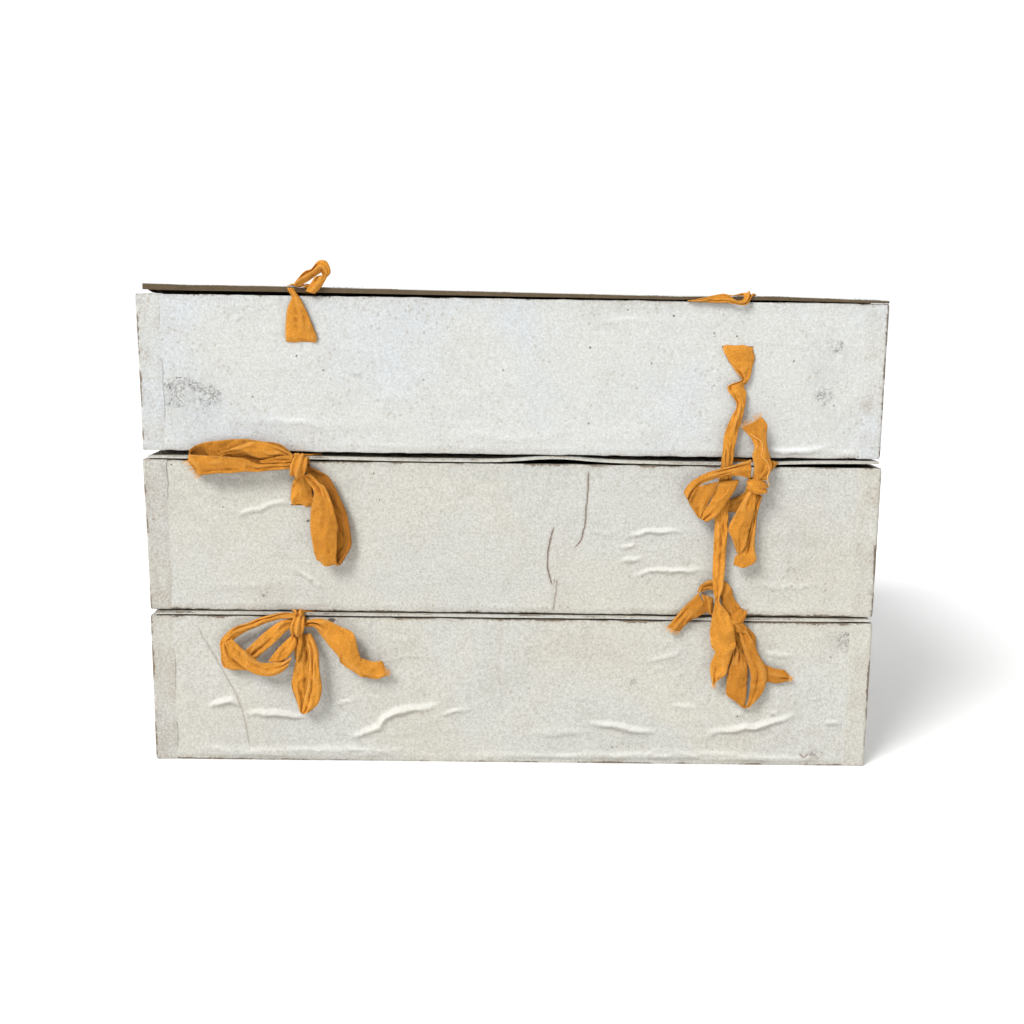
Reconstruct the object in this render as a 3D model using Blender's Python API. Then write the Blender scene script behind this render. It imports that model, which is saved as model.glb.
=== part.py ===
"""A stack of three paper-covered archival boxes with cotton tape ties, modelled at rest. Metres, +Z up.

The origin is the middle of the lowest box's underside. -Y is the front, where the ties are, and +X is right.
Every box is a tray of glued boards with a hinged lid board. "Out" below means in front of a box's front plane.
"""

import bmesh
import bpy
from mathutils import Vector

MM = 0.001

# One box.
WIDTH = 500 * MM
DEPTH = 360 * MM
TRAY_HEIGHT = 104 * MM
BOARD = 3 * MM
LID_BOARD = 2 * MM
PAPER = 0.4 * MM
GLUE_GAP = 0.3 * MM
PAPER_GAP = 0.2 * MM
SKIN = PAPER + PAPER_GAP

# The paper strips over the corners, and the strip that hinges the lid.
CORNER_STRIP = 16 * MM
HINGE_STRIP = 25 * MM
LINING_INSET = 10 * MM

# The ties: one slit in the front wall and one in the lid at each side, with a tape through each.
TAPE_WIDTH = 20 * MM
TAPE_THICKNESS = 0.8 * MM
SLIT_HEIGHT = 1.6 * MM
SLIT_LENGTH = TAPE_WIDTH + 1 * MM
SLIT_MIDDLES = {"left": -141.5 * MM, "right": 150 * MM}
WALL_SLIT_Z = 74.3 * MM
LID_SLIT_BACK = 8 * MM
TAPE_STANDOFF = GLUE_GAP + TAPE_THICKNESS / 2
TAPE_END = 14 * MM
PATCH_REACH = 18 * MM
PATCH_SPAN = (-26 * MM, 6 * MM)
PATCH_STANDOFF = 2 * GLUE_GAP + TAPE_THICKNESS

# The stack. Each box sits on the lid below it, a little to one side, and its lid lies a little above its walls.
STACK_SPACE = {"middle": 4.8 * MM, "top": 6.6 * MM}
STACK_SHIFT = {"bottom": (0, 0), "middle": (-0.6 * MM, -0.6 * MM), "top": (-1.9 * MM, -0.9 * MM)}
LID_LIFT = {"bottom": 1.2 * MM, "middle": 1.2 * MM, "top": 0.3 * MM}
LID_INSET = {"bottom": (2 * MM, 2 * MM), "middle": (2 * MM, 2 * MM), "top": (4.5 * MM, 0.5 * MM)}

# The top lid's front edge has curled up, most at the left.
CURL_LEFT = 5.4 * MM
CURL_RIGHT = 0.4 * MM
CURL_DEPTH = 60 * MM
CURL_CLEARANCE = 0.3 * MM

FRONT = -DEPTH / 2
WALL_FACE = FRONT + SKIN
INNER_FACE = WALL_FACE + BOARD
HINGE_Y = DEPTH / 2
LID_REAR = -SKIN - 1.5 * MM

COLOURS = {
    "white_paper": ((0.76, 0.77, 0.74), 0.85),
    "brown_board": ((0.19, 0.14, 0.09), 0.9),
    "ochre_tape": ((0.70, 0.31, 0.07), 0.9),
}

# Outlines of the bows seen from the front, in millimetres in their own box's frame, as (x, z).
LEFT_BOW_MIDDLE = [
    (-218, 110), (-213, 115), (-184, 120), (-151, 111), (-141, 105), (-138, 99), (-123, 86), (-110, 55),
    (-118, 35), (-133, 38), (-138, 58), (-142, 92), (-164, 97), (-211, 95),
]
RIGHT_BOW_MIDDLE = [
    (157, 138), (161, 139), (170, 113), (175, 105), (171, 96), (169, 86), (167, 62), (166, 40),
    (155, 36), (149, 51), (145, 65), (136, 68), (126, 67), (115, 85), (125, 97), (155, 108),
]
LEFT_BOW_BOTTOM = [
    (-200, 89), (-191, 100), (-148, 109), (-142, 104), (-112, 90), (-103, 78), (-88, 71), (-98, 63),
    (-116, 72), (-131, 76), (-133, 47), (-145, 38), (-153, 54), (-153, 72), (-173, 64), (-199, 69),
]
RIGHT_BOW_BOTTOM = [
    (106, 104), (109, 113), (127, 132), (141, 137), (155, 125), (163, 104), (166, 90), (174, 78),
    (191, 71), (175, 63), (170, 51), (159, 45), (147, 58), (150, 86), (137, 93), (118, 100),
]
LOOP_TOP = [(-147, 110), (-139, 117), (-129, 126), (-123, 122), (-121, 114), (-129, 108), (-137, 106)]

# Each bow: its outline, and how far out of the front plane it begins and ends, in millimetres.
BOWS = {
    "middle_left_bow": (LEFT_BOW_MIDDLE, 3.0, 11.4),
    "middle_right_bow": (RIGHT_BOW_MIDDLE, 6.4, 12.4),
    "bottom_left_bow": (LEFT_BOW_BOTTOM, 3.6, 11.0),
    "bottom_right_bow": (RIGHT_BOW_BOTTOM, 2.0, 4.8),
}

# The tapes outside the walls, from the slit on, in millimetres: (middle x, half width, z, out).
WALL_TAPE_RUNS = {
    "bottom_left": [(-142, 10, 78, 0.4), (-145, 7, 84, 0.8), (-147, 5, 90, 2.9)],
    "bottom_right": [(150, 10, 79, 0.4), (152, 7, 88, 0.6), (153, 5, 97, 1.3)],
    "middle_left": [(-142, 10, 78, 0.4), (-142, 8, 85, 0.8), (-142, 5, 92, 2.3)],
    "middle_right": [(151, 10, 78, 0.4), (156, 8, 84, 0.6), (161, 6, 90, 2.0), (162, 5, 94, 5.7)],
    "top_left": [(-143, 9, 84, 0.4), (-146, 5, 96, 0.4), (-147, 3, 106, 0.4)],
    "top_right": [
        (154, 9, 66, 0.8), (153, 4, 54, 2.0), (152, 3, 48, 3.0), (149, 5, 36, 4.0), (147, 5, 19, 4.3),
        (143, 5, -29, 4.3), (142, 5, -77, 4.3), (141, 3, -97, 4.3), (144, 8, -117, 4.3), (144, 9, -131, 4.3),
        (142, 8, -144, 4.3), (142, 4, -153, 4.3),
    ],
}

# The top right lid tape turns to the left over the lid's edge and lies along it: the two edges of each
# cross-section, in millimetres, as (x from the slit's middle, z from the wall's top).
TUCKED_TAPE_RUN = [((-14, 2.5), (2, -1.8)), ((-25, 3.0), (-22, -1.5)), ((-37, 1.2), (-37, 0.2))]


def material(name):
    made = bpy.data.materials.get(name)
    if made is None:
        colour, roughness = COLOURS[name]
        made = bpy.data.materials.new(name)
        made.use_nodes = True
        shader = made.node_tree.nodes["Principled BSDF"]
        shader.inputs["Base Color"].default_value = (*colour, 1)
        shader.inputs["Roughness"].default_value = roughness
        shader.inputs["Metallic"].default_value = 0
    return made


def frame(name, place, parent=None):
    """An empty that stands for a body, on its joint's axis."""
    empty = bpy.data.objects.new(name, None)
    empty.empty_display_size = 20 * MM
    empty.location = place
    empty.parent = parent
    bpy.context.collection.objects.link(empty)
    return empty


def mesh_object(name, mesh, parent, finish):
    """A closed mesh in its body's frame, from a bmesh that it uses up."""
    bmesh.ops.recalc_face_normals(mesh, faces=mesh.faces[:])
    data = bpy.data.meshes.new(name)
    mesh.to_mesh(data)
    mesh.free()
    data.materials.append(material(finish))
    made = bpy.data.objects.new(name, data)
    made.parent = parent
    bpy.context.collection.objects.link(made)
    return made


def plate(name, low, high, parent, finish):
    size = Vector(high) - Vector(low)
    mesh = bmesh.new()
    corners = bmesh.ops.create_cube(mesh, size=1)["verts"]
    bmesh.ops.scale(mesh, vec=size, verts=corners)
    bmesh.ops.translate(mesh, vec=Vector(low) + size / 2, verts=corners)
    mesh_object(name, mesh, parent, finish)


def extruded(mesh, outline, travel):
    face = mesh.faces.new([mesh.verts.new(point) for point in outline])
    raised = bmesh.ops.extrude_face_region(mesh, geom=[face])["geom"]
    moved = [part for part in raised if isinstance(part, bmesh.types.BMVert)]
    bmesh.ops.translate(mesh, vec=travel, verts=moved)


def in_a_hole(u, v, holes):
    """Whether a place is inside one of the holes, each given by its middle and its reach along u and v."""
    return any(abs(u - hole[0]) < hole[2] and abs(v - hole[1]) < hole[3] for hole in holes)


def board_with_holes(name, lines, holes, place, thickness, parent, finish):
    """A board over the grid of lines, left open in each hole, with place(u, v) its middle surface."""
    mesh = bmesh.new()
    across, along = lines
    corners = [[mesh.verts.new(place(u, v)) for v in along] for u in across]
    for i, (u0, u1) in enumerate(zip(across, across[1:])):
        for j, (v0, v1) in enumerate(zip(along, along[1:])):
            if in_a_hole((u0 + u1) / 2, (v0 + v1) / 2, holes):
                continue
            mesh.faces.new((corners[i][j], corners[i + 1][j], corners[i + 1][j + 1], corners[i][j + 1]))
    board = mesh_object(name, mesh, parent, finish)
    solid(board, thickness)
    return board


def solid(made, thickness):
    modifier = made.modifiers.new("Solidify", "SOLIDIFY")
    modifier.thickness = thickness
    modifier.offset = 0
    modifier.use_even_offset = True


def steps(low, high, count):
    return [low + (high - low) * k / count for k in range(count + 1)]


def with_edges(lines, holes, axis):
    """The grid lines, with each hole's two edges added and any line inside a hole taken out."""
    spans = [(hole[axis] - hole[axis + 2], hole[axis] + hole[axis + 2]) for hole in holes]
    kept = [line for line in lines if not any(low - MM < line < high + MM for low, high in spans)]
    return sorted(set(kept + [edge for span in spans for edge in span]))


def slits(middle):
    return [(x, middle, SLIT_LENGTH / 2, SLIT_HEIGHT / 2) for x in SLIT_MIDDLES.values()]


def curl(x, y):
    """How far the top lid's front edge has lifted at this place."""
    share = min(max(0.5 - x / WIDTH, 0), 1)
    behind = min(max((y - FRONT) / CURL_DEPTH, 0), 1)
    return (CURL_RIGHT + (CURL_LEFT - CURL_RIGHT) * share) * (1 - behind) ** 2


def level(x, half, y, z):
    """A tape's cross-section that lies level: its left and right edge."""
    return (x - half, y, z), (x + half, y, z)


def tape(name, sections, parent):
    """A tape through cross-sections, as a thin closed solid."""
    mesh = bmesh.new()
    edges = [(mesh.verts.new(left), mesh.verts.new(right)) for left, right in sections]
    for (left, right), (next_left, next_right) in zip(edges, edges[1:]):
        mesh.faces.new((left, right, next_right, next_left))
    solid(mesh_object(name, mesh, parent, "ochre_tape"), TAPE_THICKNESS)


def wall_tape(box, side, tray):
    """From its glued end inside the tray, out through the slit, and along its run outside."""
    x = SLIT_MIDDLES[side]
    half = TAPE_WIDTH / 2
    inside = INNER_FACE + TAPE_STANDOFF
    outside = WALL_FACE - TAPE_STANDOFF
    glued = [(inside, WALL_SLIT_Z - TAPE_END), (inside, WALL_SLIT_Z), (outside, WALL_SLIT_Z)]
    sections = [level(x, half, y, z) for y, z in glued]
    for middle, reach, z, out in WALL_TAPE_RUNS[f"{box}_{side}"]:
        sections.append(level(middle * MM, reach * MM, FRONT - out * MM, z * MM))
    tape(f"{box}_{side}_wall_tape", sections, tray)


def lid_tape(box, side, lid):
    """From its glued end under the lid, up through the slit, and over the lid's front edge."""
    x = SLIT_MIDDLES[side]
    half = TAPE_WIDTH / 2
    slit_y = FRONT + LID_SLIT_BACK
    rise = curl if box == "top" else lambda x, y: 0
    clear = TAPE_STANDOFF + (CURL_CLEARANCE if box == "top" else 0)
    under = LID_LIFT[box] - clear
    over = LID_LIFT[box] + LID_BOARD + clear
    end_y = slit_y + TAPE_END
    edge_y = FRONT - clear
    sections = [
        level(x, half, end_y, under + rise(x, end_y)),
        level(x, half, slit_y, under + rise(x, slit_y)),
        level(x, half, slit_y, over + rise(x, slit_y)),
        level(x, half * 0.8, edge_y, over + rise(x, FRONT)),
    ]
    if (box, side) == ("top", "right"):
        for ends in TUCKED_TAPE_RUN:
            sections.append([(x + across * MM, edge_y, z * MM) for across, z in ends])
    else:
        sections.append(level(x, half * 0.6, edge_y, rise(x, FRONT) - 1.5 * MM))
    on_hinge = Vector((0, HINGE_Y, 0))
    tape(f"{box}_{side}_lid_tape", [[Vector(end) - on_hinge for end in ends] for ends in sections], lid)


def tray_boards(box, tray):
    """Four walls stood round the base board. The front wall has the two slits."""
    side_x = WIDTH / 2 - SKIN
    inner_x = side_x - BOARD
    rear = -WALL_FACE
    rear_inner = rear - BOARD
    long_y = rear_inner - GLUE_GAP
    holes = slits(WALL_SLIT_Z)
    middle_y = WALL_FACE + BOARD / 2
    board_with_holes(
        f"{box}_front_wall",
        (with_edges(steps(-side_x, side_x, 10), holes, 0), with_edges(steps(0, TRAY_HEIGHT, 4), holes, 1)),
        holes,
        lambda x, z: (x, middle_y, z),
        BOARD,
        tray,
        "white_paper",
    )
    plate(f"{box}_rear_wall", (-side_x, rear_inner, 0), (side_x, rear, TRAY_HEIGHT), tray, "white_paper")
    plate(f"{box}_left_wall", (-side_x, -long_y, 0), (-inner_x, long_y, TRAY_HEIGHT), tray, "white_paper")
    plate(f"{box}_right_wall", (inner_x, -long_y, 0), (side_x, long_y, TRAY_HEIGHT), tray, "white_paper")
    floor_x = inner_x - GLUE_GAP
    plate(f"{box}_base_board", (-floor_x, -long_y, 0), (floor_x, long_y, BOARD), tray, "brown_board")
    lining = BOARD + GLUE_GAP
    low, high = (-floor_x, -long_y, lining), (floor_x, long_y, lining + PAPER)
    plate(f"{box}_floor_lining", low, high, tray, "white_paper")


def corner_strips(box, tray):
    """A folded strip of paper over each upright corner."""
    for end, along in (("front", -1), ("rear", 1)):
        for side, across in (("left", -1), ("right", 1)):
            folds = [
                (0, 0), (CORNER_STRIP, 0), (CORNER_STRIP, PAPER),
                (PAPER, PAPER), (PAPER, CORNER_STRIP), (0, CORNER_STRIP),
            ]
            outline = [(across * (WIDTH / 2 - x), along * (DEPTH / 2 - y), 0) for x, y in folds]
            mesh = bmesh.new()
            extruded(mesh, outline, (0, 0, TRAY_HEIGHT))
            mesh_object(f"{box}_{end}_{side}_corner_strip", mesh, tray, "white_paper")


def tray_papers(box, tray):
    """The corner strips, the hinge strip on the rear wall and the strip over the tapes' glued ends."""
    corner_strips(box, tray)
    reach = WIDTH / 2 - CORNER_STRIP - 2 * MM
    rear = -WALL_FACE + PAPER_GAP
    low, high = (-reach, rear, TRAY_HEIGHT - HINGE_STRIP), (reach, rear + PAPER, TRAY_HEIGHT)
    plate(f"{box}_hinge_strip", low, high, tray, "white_paper")
    y = INNER_FACE + PATCH_STANDOFF
    low = (SLIT_MIDDLES["left"] - PATCH_REACH, y, WALL_SLIT_Z + PATCH_SPAN[0])
    high = (SLIT_MIDDLES["right"] + PATCH_REACH, y + PAPER, WALL_SLIT_Z + PATCH_SPAN[1])
    plate(f"{box}_tape_patch", low, high, tray, "white_paper")


def lid_boards(box, lid):
    """The lid board with its two slits, and its lining. The lid's frame is on its hinge axis."""
    left, right = LID_INSET[box]
    rear = HINGE_Y + LID_REAR
    rise = curl if box == "top" else lambda x, y: 0
    holes = slits(FRONT + LID_SLIT_BACK)
    curled = steps(FRONT, FRONT + CURL_DEPTH, 6)
    across = with_edges(steps(left - WIDTH / 2, WIDTH / 2 - right, 10), holes, 0)
    along = with_edges(curled + [rear], holes, 1)
    middle_z = LID_LIFT[box] + LID_BOARD / 2
    board_with_holes(
        f"{box}_lid_board",
        (across, along),
        holes,
        lambda x, y: (x, y - HINGE_Y, middle_z + rise(x, y)),
        LID_BOARD,
        lid,
        "white_paper",
    )
    lining_x = WIDTH / 2 - LINING_INSET
    slack = 2 * CURL_CLEARANCE if box == "top" else 0
    lining_z = LID_LIFT[box] - PATCH_STANDOFF - PAPER / 2 - slack
    front = FRONT + LID_SLIT_BACK + SLIT_HEIGHT
    board_with_holes(
        f"{box}_lid_lining",
        (steps(-lining_x, lining_x, 10), [front] + curled[2:] + [HINGE_Y - LINING_INSET]),
        [],
        lambda x, y: (x, y - HINGE_Y, lining_z + rise(x, y)),
        PAPER,
        lid,
        "brown_board",
    )


def slab(mesh, outline, near, far, shift=0):
    """An outline in (x, z) millimetres, standing between two distances out of the front plane."""
    y = FRONT - near * MM - shift
    extruded(mesh, [(x * MM, y, z * MM) for x, z in outline], (0, (near - far) * MM, 0))


def bow(name, tray):
    mesh = bmesh.new()
    slab(mesh, *BOWS[name])
    mesh_object(name, mesh, tray, "ochre_tape")


def top_loop(lid):
    """The loop that stands on the top lid's front edge."""
    mesh = bmesh.new()
    slab(mesh, [(x, z - TRAY_HEIGHT / MM) for x, z in LOOP_TOP], 1.5, 6, HINGE_Y)
    mesh_object("top_left_loop", mesh, lid, "ochre_tape")


def box(name, below, height):
    """One box, with its tray's frame placed in the frame of the tray below."""
    dx, dy = STACK_SHIFT[name]
    tray = frame(f"{name}_tray_frame", (dx, dy, height), below)
    lid = frame(f"{name}_lid_frame", (0, HINGE_Y, TRAY_HEIGHT), tray)
    tray_boards(name, tray)
    tray_papers(name, tray)
    lid_boards(name, lid)
    for side in SLIT_MIDDLES:
        wall_tape(name, side, tray)
        lid_tape(name, side, lid)
        if f"{name}_{side}_bow" in BOWS:
            bow(f"{name}_{side}_bow", tray)
    if name == "top":
        top_loop(lid)
    return tray


def main():
    for old in list(bpy.data.objects):
        bpy.data.objects.remove(old)
    bpy.context.scene.unit_settings.scale_length = 1
    bottom = box("bottom", None, 0)
    middle = box("middle", bottom, TRAY_HEIGHT + STACK_SPACE["middle"])
    box("top", middle, TRAY_HEIGHT + STACK_SPACE["top"])
    bpy.context.view_layer.update()


main()
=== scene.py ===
"""A stack of three paper-covered archival boxes with cotton tape ties: the looks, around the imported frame.

Lengths are in metres. Places on a box's front are given as x and z with "out", the distance in front of the
lowest box's front plane. -Y is the front, +X is right and +Z is up.
"""

import math

import bmesh
import bpy
import numpy as np
from mathutils import Matrix, Vector


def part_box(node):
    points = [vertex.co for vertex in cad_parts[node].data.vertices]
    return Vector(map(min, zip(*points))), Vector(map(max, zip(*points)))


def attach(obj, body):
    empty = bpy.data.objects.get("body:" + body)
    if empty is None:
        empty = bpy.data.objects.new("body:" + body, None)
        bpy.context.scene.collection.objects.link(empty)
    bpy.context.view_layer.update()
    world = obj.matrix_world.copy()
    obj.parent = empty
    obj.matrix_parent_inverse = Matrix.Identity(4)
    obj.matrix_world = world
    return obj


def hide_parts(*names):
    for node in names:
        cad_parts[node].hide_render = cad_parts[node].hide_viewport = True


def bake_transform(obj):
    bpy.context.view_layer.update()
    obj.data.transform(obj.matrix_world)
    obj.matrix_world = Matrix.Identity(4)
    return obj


bl_info = {
    "name": "Archival boxes",
    "version": (1, 0, 0),
    "blender": (4, 5, 0),
    "location": "View3D > Sidebar > Archive",
    "description": "Builds a stack of paper-covered board boxes tied with cotton tape",
    "category": "Object",
}

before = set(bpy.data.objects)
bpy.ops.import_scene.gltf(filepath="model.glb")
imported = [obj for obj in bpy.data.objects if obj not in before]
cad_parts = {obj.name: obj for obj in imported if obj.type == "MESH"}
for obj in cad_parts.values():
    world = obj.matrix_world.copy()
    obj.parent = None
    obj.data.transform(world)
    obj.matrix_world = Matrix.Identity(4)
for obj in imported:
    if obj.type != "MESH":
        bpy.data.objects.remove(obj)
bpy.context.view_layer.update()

MM = 0.001
TAPE_SLOT = "ochre_cotton_tape"
BOXES = ("bottom", "middle", "top")
SIDES = ("left", "right")
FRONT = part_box("bottom_front_left_corner_strip")[0].y
SLIT_X = {"left": -0.1415, "right": 0.150}
SLIT_RISE = 0.0743
SLIT_SIZE = (0.021, 0.0011)
# The share of a wall's slit that is still open; the others are open all along.
SLIT_OPEN = {("bottom", "left"): 0.62}
LID_SLIT_BACK = 0.008
LID_THICKNESS = 0.002
HALF_DEPTH = 0.18
TAPE = 0.020
CLOTH = 0.00045
# How finely a tape or a paper hinge is stepped along its run, and the first lines in from a board's edge.
FINE_STEP = 0.0011
EDGE_STEPS = (0.00025, 0.0007, 0.0014)
# How far a side or rear wall bows out at its middle.
BULGE = 0.0006
# The cotton's colours: a painted highlight on its raised threads, the tones of its slubs, soil, selvedges,
# nap and age, painted shade and painted highlight for its folds, and its loose threads.
LIT_THREAD = (0.95, 0.55, 0.17)
PALE_SLUB = (0.92, 0.52, 0.16)
DARK_SLUB = (0.45, 0.17, 0.03)
TAPE_SOIL = (0.36, 0.14, 0.03)
SELVEDGE = (0.93, 0.56, 0.20)
NAP_SHADE = (0.36, 0.125, 0.012)
NAP_LIT = (0.88, 0.44, 0.09)
AGED_OCHRE = (0.33, 0.105, 0.008)
FOLD_SHADE = (0.17, 0.042, 0.004)
FOLD_LIT = (0.90, 0.48, 0.13)
PALE_THREAD = (0.93, 0.55, 0.19)
# Dirt and wear on the papers, and the painted shade under their creases.
BARE_BROWN = (0.17, 0.12325, 0.08075)
RUST = (0.34, 0.25, 0.165)
DARK_SPECK = (0.15, 0.115, 0.085)
CREASE_SHADE = (0.27, 0.245, 0.215)
STAIN_BROWN = (0.30, 0.22, 0.145)
GREY_RUB = (0.24, 0.25, 0.25)
SCUFF_GREY = (0.13, 0.125, 0.12)
INK_SPOT = (0.09, 0.07, 0.055)
CRACK_EDGE = (0.36, 0.28, 0.22)
CRACK_BROWN = (0.20, 0.13, 0.10)
HANDLED_BROWN = (0.30, 0.235, 0.165)

# Marks on each front: places are millimetres from the front's lower left corner.
# A ridge is a raised crease of the paper: (height, half width, points).
RIDGES = {
    "top": [
        (0.55, 4.5, [(67, 20), (111, 19), (148, 18), (195, 20)]),
        (0.4, 2.0, [(80, 22), (112, 19), (126, 16)]),
        (1.0, 2.2, [(420, 7), (436, 3.5), (452, 4.5), (466, 9)]),
        (0.8, 1.8, [(472, 2.5), (487, 4.5), (498, 3.5)]), (0.8, 6.0, [(305, 11), (335, 15), (358, 15)]),
        (0.45, 1.4, [(62, 88), (69, 89.5)]), (0.35, 1.8, [(158, 37.5), (169, 38)]),
        (0.35, 2.2, [(80, 79), (99, 81)]), (0.5, 1.6, [(300, 88), (322, 91), (345, 90)]),
        (0.5, 3.0, [(205, 13), (250, 10), (290, 12)]),
    ],
    "middle": [
        (1.3, 1.4, [(327, 55), (331.5, 56.5), (340.5, 58.5), (348.5, 58), (359, 59), (366, 57)]),
        (0.9, 1.2, [(320.5, 48.5), (327, 47.5), (334, 50)]),
        (1.1, 1.3, [(322, 38), (332, 38.5), (337.5, 41.5)]),
        (1.2, 1.5, [(330, 27), (341.5, 30.5), (348.5, 32), (357.5, 30.5), (376, 32), (384, 31)]),
        (0.9, 1.4, [(53, 72.5), (62.5, 66.5), (77.5, 72), (96.5, 78.5)]),
        (0.7, 1.3, [(88, 76), (98, 75), (109, 72)]),
        (1.0, 1.6, [(94.5, 34), (103, 27), (112.5, 20.5), (118, 13.5)]),
        (0.5, 3.0, [(20, 20), (60, 17), (110, 19)]), (0.6, 1.8, [(410, 24), (436, 20), (462, 23)]),
        (0.5, 1.3, [(110, 34), (128, 36), (145, 35)]), (0.5, 1.5, [(300, 60), (312, 57), (322, 58)]),
    ],
    "bottom": [
        (1.7, 1.8, [(36.5, 38.5), (44, 40.5), (53, 43), (59, 39)]),
        (1.8, 1.8, [(62, 34), (77.5, 34.5), (89.5, 33), (105, 32.5)]),
        (1.9, 2.0, [(136, 17), (146, 21), (156.5, 24), (161, 32), (175, 38.5), (196.5, 40.5)]),
        (0.8, 1.6, [(123, 41.5), (141.5, 45.5)]), (0.9, 1.6, [(198, 35), (220.5, 39)]),
        (0.7, 1.5, [(2.5, 77.5), (8.5, 71.5)]), (0.6, 1.6, [(53.5, 61), (69, 62), (84, 63)]),
        (1.6, 1.9, [(302, 29), (306.5, 29.5), (319, 29), (334.5, 25), (351.5, 23)]),
        (1.8, 2.0, [(385, 22), (395, 24.5), (410.5, 26), (429.5, 30), (450, 36.5)]),
        (0.7, 2.4, [(258, 21), (277, 22.5), (302, 22.5)]),
        (1.0, 1.5, [(466, 31), (483, 31.5), (496, 33)]), (0.7, 1.6, [(360.5, 42), (381.5, 42.5)]),
        (0.8, 1.4, [(425, 81), (446, 79.5)]), (0.7, 1.5, [(340.5, 74.5), (363, 80.5), (370, 86.5)]),
        (0.9, 2.4, [(20, 8), (70, 6), (130, 8), (190, 6)]),
        (0.9, 2.2, [(230, 7), (300, 5), (380, 7), (450, 5), (480, 7)]),
        (0.7, 1.5, [(404, 37), (412, 37.5)]), (0.7, 1.5, [(429, 38), (437, 38)]),
    ],
}
# A crack is a split in the paper: (strength, half width, points).
CRACKS = {
    "top": [(0.18, 0.6, [(352, 78), (356, 70), (354, 62)])],
    "middle": [
        (0.8, 0.8, [(300, 101.5), (300, 88), (299, 77.5), (298.5, 62.5), (296, 52), (290.5, 45)]),
        (0.95, 1.0, [(277.5, 62), (275.5, 55.5), (273.5, 43.5), (273, 34), (274.5, 27), (277, 19)]),
        (0.5, 0.7, [(280, 25), (279.5, 15.5), (277.5, 1)]),
    ],
    "bottom": [
        (0.4, 0.7, [(30, 101.5), (34.5, 89), (42, 76.5), (56.5, 48.5), (62, 31), (66, 4.5)]),
        (0.22, 0.6, [(241.5, 100.5), (239.5, 73), (241.5, 51.5), (242.5, 34)]),
        (0.6, 0.8, [(453, 9), (456, 6), (460, 9)]),
    ],
}
# Smaller marks than this, in millimetres, would fall between the face's points.
SMALLEST_MARK = 1.1
# A mark is a stain, a scuff, a grey rub or band, or a dark spot: (strength, x, z, half width, half height).
MARKS = {
    "top": {
        "scuff": [
            (1.0, 46, 37, 9, 8), (0.95, 29, 44, 15, 7), (0.7, 24, 34, 12, 7), (0.6, 14, 46, 9, 8),
            (0.9, 459, 42, 7, 8), (0.7, 466, 75, 8, 6), (1.0, 145, 52, 4, 2),
        ],
        "grey": [
            (0.55, 30, 30, 22, 20), (0.5, 458, 60, 12, 20), (0.35, 470, 24, 24, 14),
            # The last grey mark is a long band along the top edge.
            (0.8, 145, 52, 5, 2.2), (0.25, 300, 100, 190, 4),
        ],
        "stain": [(0.9, 488, 37, 3, 4), (0.55, 5, 64, 3, 5), (0.3, 14, 88, 10, 12)],
        "spot": [
            (0.8, 104.5, 64.5, 1.2, 0.7), (0.8, 122.5, 55, 1.6, 0.7), (0.6, 100.5, 51.5, 0.8, 0.6),
            (0.9, 300.5, 72.5, 0.7, 0.7), (0.6, 345, 70, 0.9, 0.6), (0.7, 383.5, 81, 0.9, 0.7),
            (0.8, 356, 94, 1.6, 0.5), (1.0, 394, 65, 0.9, 0.9), (0.8, 437.5, 65, 1.0, 0.6),
            (0.7, 442.5, 85.5, 1.2, 0.6), (0.5, 326, 81.5, 0.9, 0.6), (0.6, 419.5, 42, 0.8, 0.8),
        ],
    },
    "middle": {
        "spot": [
            (1.0, 109, 63, 1.5, 1.0), (0.7, 18, 100.5, 1.3, 0.8), (0.8, 157.5, 78, 0.9, 0.8),
            (0.7, 153.5, 96, 0.9, 0.8), (0.8, 51, 72, 0.9, 0.7), (0.6, 72.5, 34, 1.0, 0.8),
            (0.7, 352, 13, 1.0, 0.8),
        ],
        "scuff": [
            (0.9, 78, 11.5, 4, 3), (0.6, 440, 34, 6, 6), (0.35, 476, 44, 10, 26), (0.5, 10, 60, 5, 30),
        ],
        "stain": [
            (0.35, 78, 14, 10, 7), (0.3, 370, 24, 5, 9), (0.3, 281, 40, 9, 34), (0.25, 455, 60, 26, 34),
            (0.55, 8, 50, 7, 60),
        ],
        # The second grey mark is a long band along the top edge.
        "grey": [(0.3, 70, 90, 50, 8), (0.25, 250, 98, 120, 5)],
    },
    "bottom": {
        "stain": [
            (0.8, 319, 78, 9, 4), (0.4, 427, 88, 6, 6), (0.6, 462, 8, 6, 5), (0.25, 300, 84, 60, 14),
            (0.2, 120, 84, 60, 16), (0.25, 440, 20, 60, 12), (0.4, 7, 50, 7, 60),
        ],
        "scuff": [(1.0, 482, 91, 9, 8), (0.9, 464.5, 9, 6, 4), (0.6, 334, 60, 5, 3)],
        "grey": [(0.5, 480, 91, 12, 8), (0.25, 60, 22, 50, 14)],
        "spot": [
            (1.0, 123.5, 102, 3.4, 2.0), (0.8, 11.5, 101, 1.2, 1.0), (0.7, 13, 20.5, 1.0, 0.8),
            (0.8, 471.5, 79.5, 1.1, 0.9), (0.6, 332.5, 57.5, 1.2, 0.7), (0.7, 271.5, 12.5, 1.3, 0.7),
            (0.7, 320.5, 12, 1.3, 0.7), (0.5, 259.5, 71.5, 0.8, 0.7), (0.5, 231, 74.5, 0.8, 0.7),
            (0.7, 408, 36, 1.4, 0.8), (0.7, 433, 37, 1.4, 0.8),
        ],
    },
}
# How far the left end of each tray leans out at its bottom and at its top, in millimetres.
LEAN = {"bottom": (0.4, 1.0), "middle": (0.0, 2.1), "top": (-0.5, 1.0)}

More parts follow.
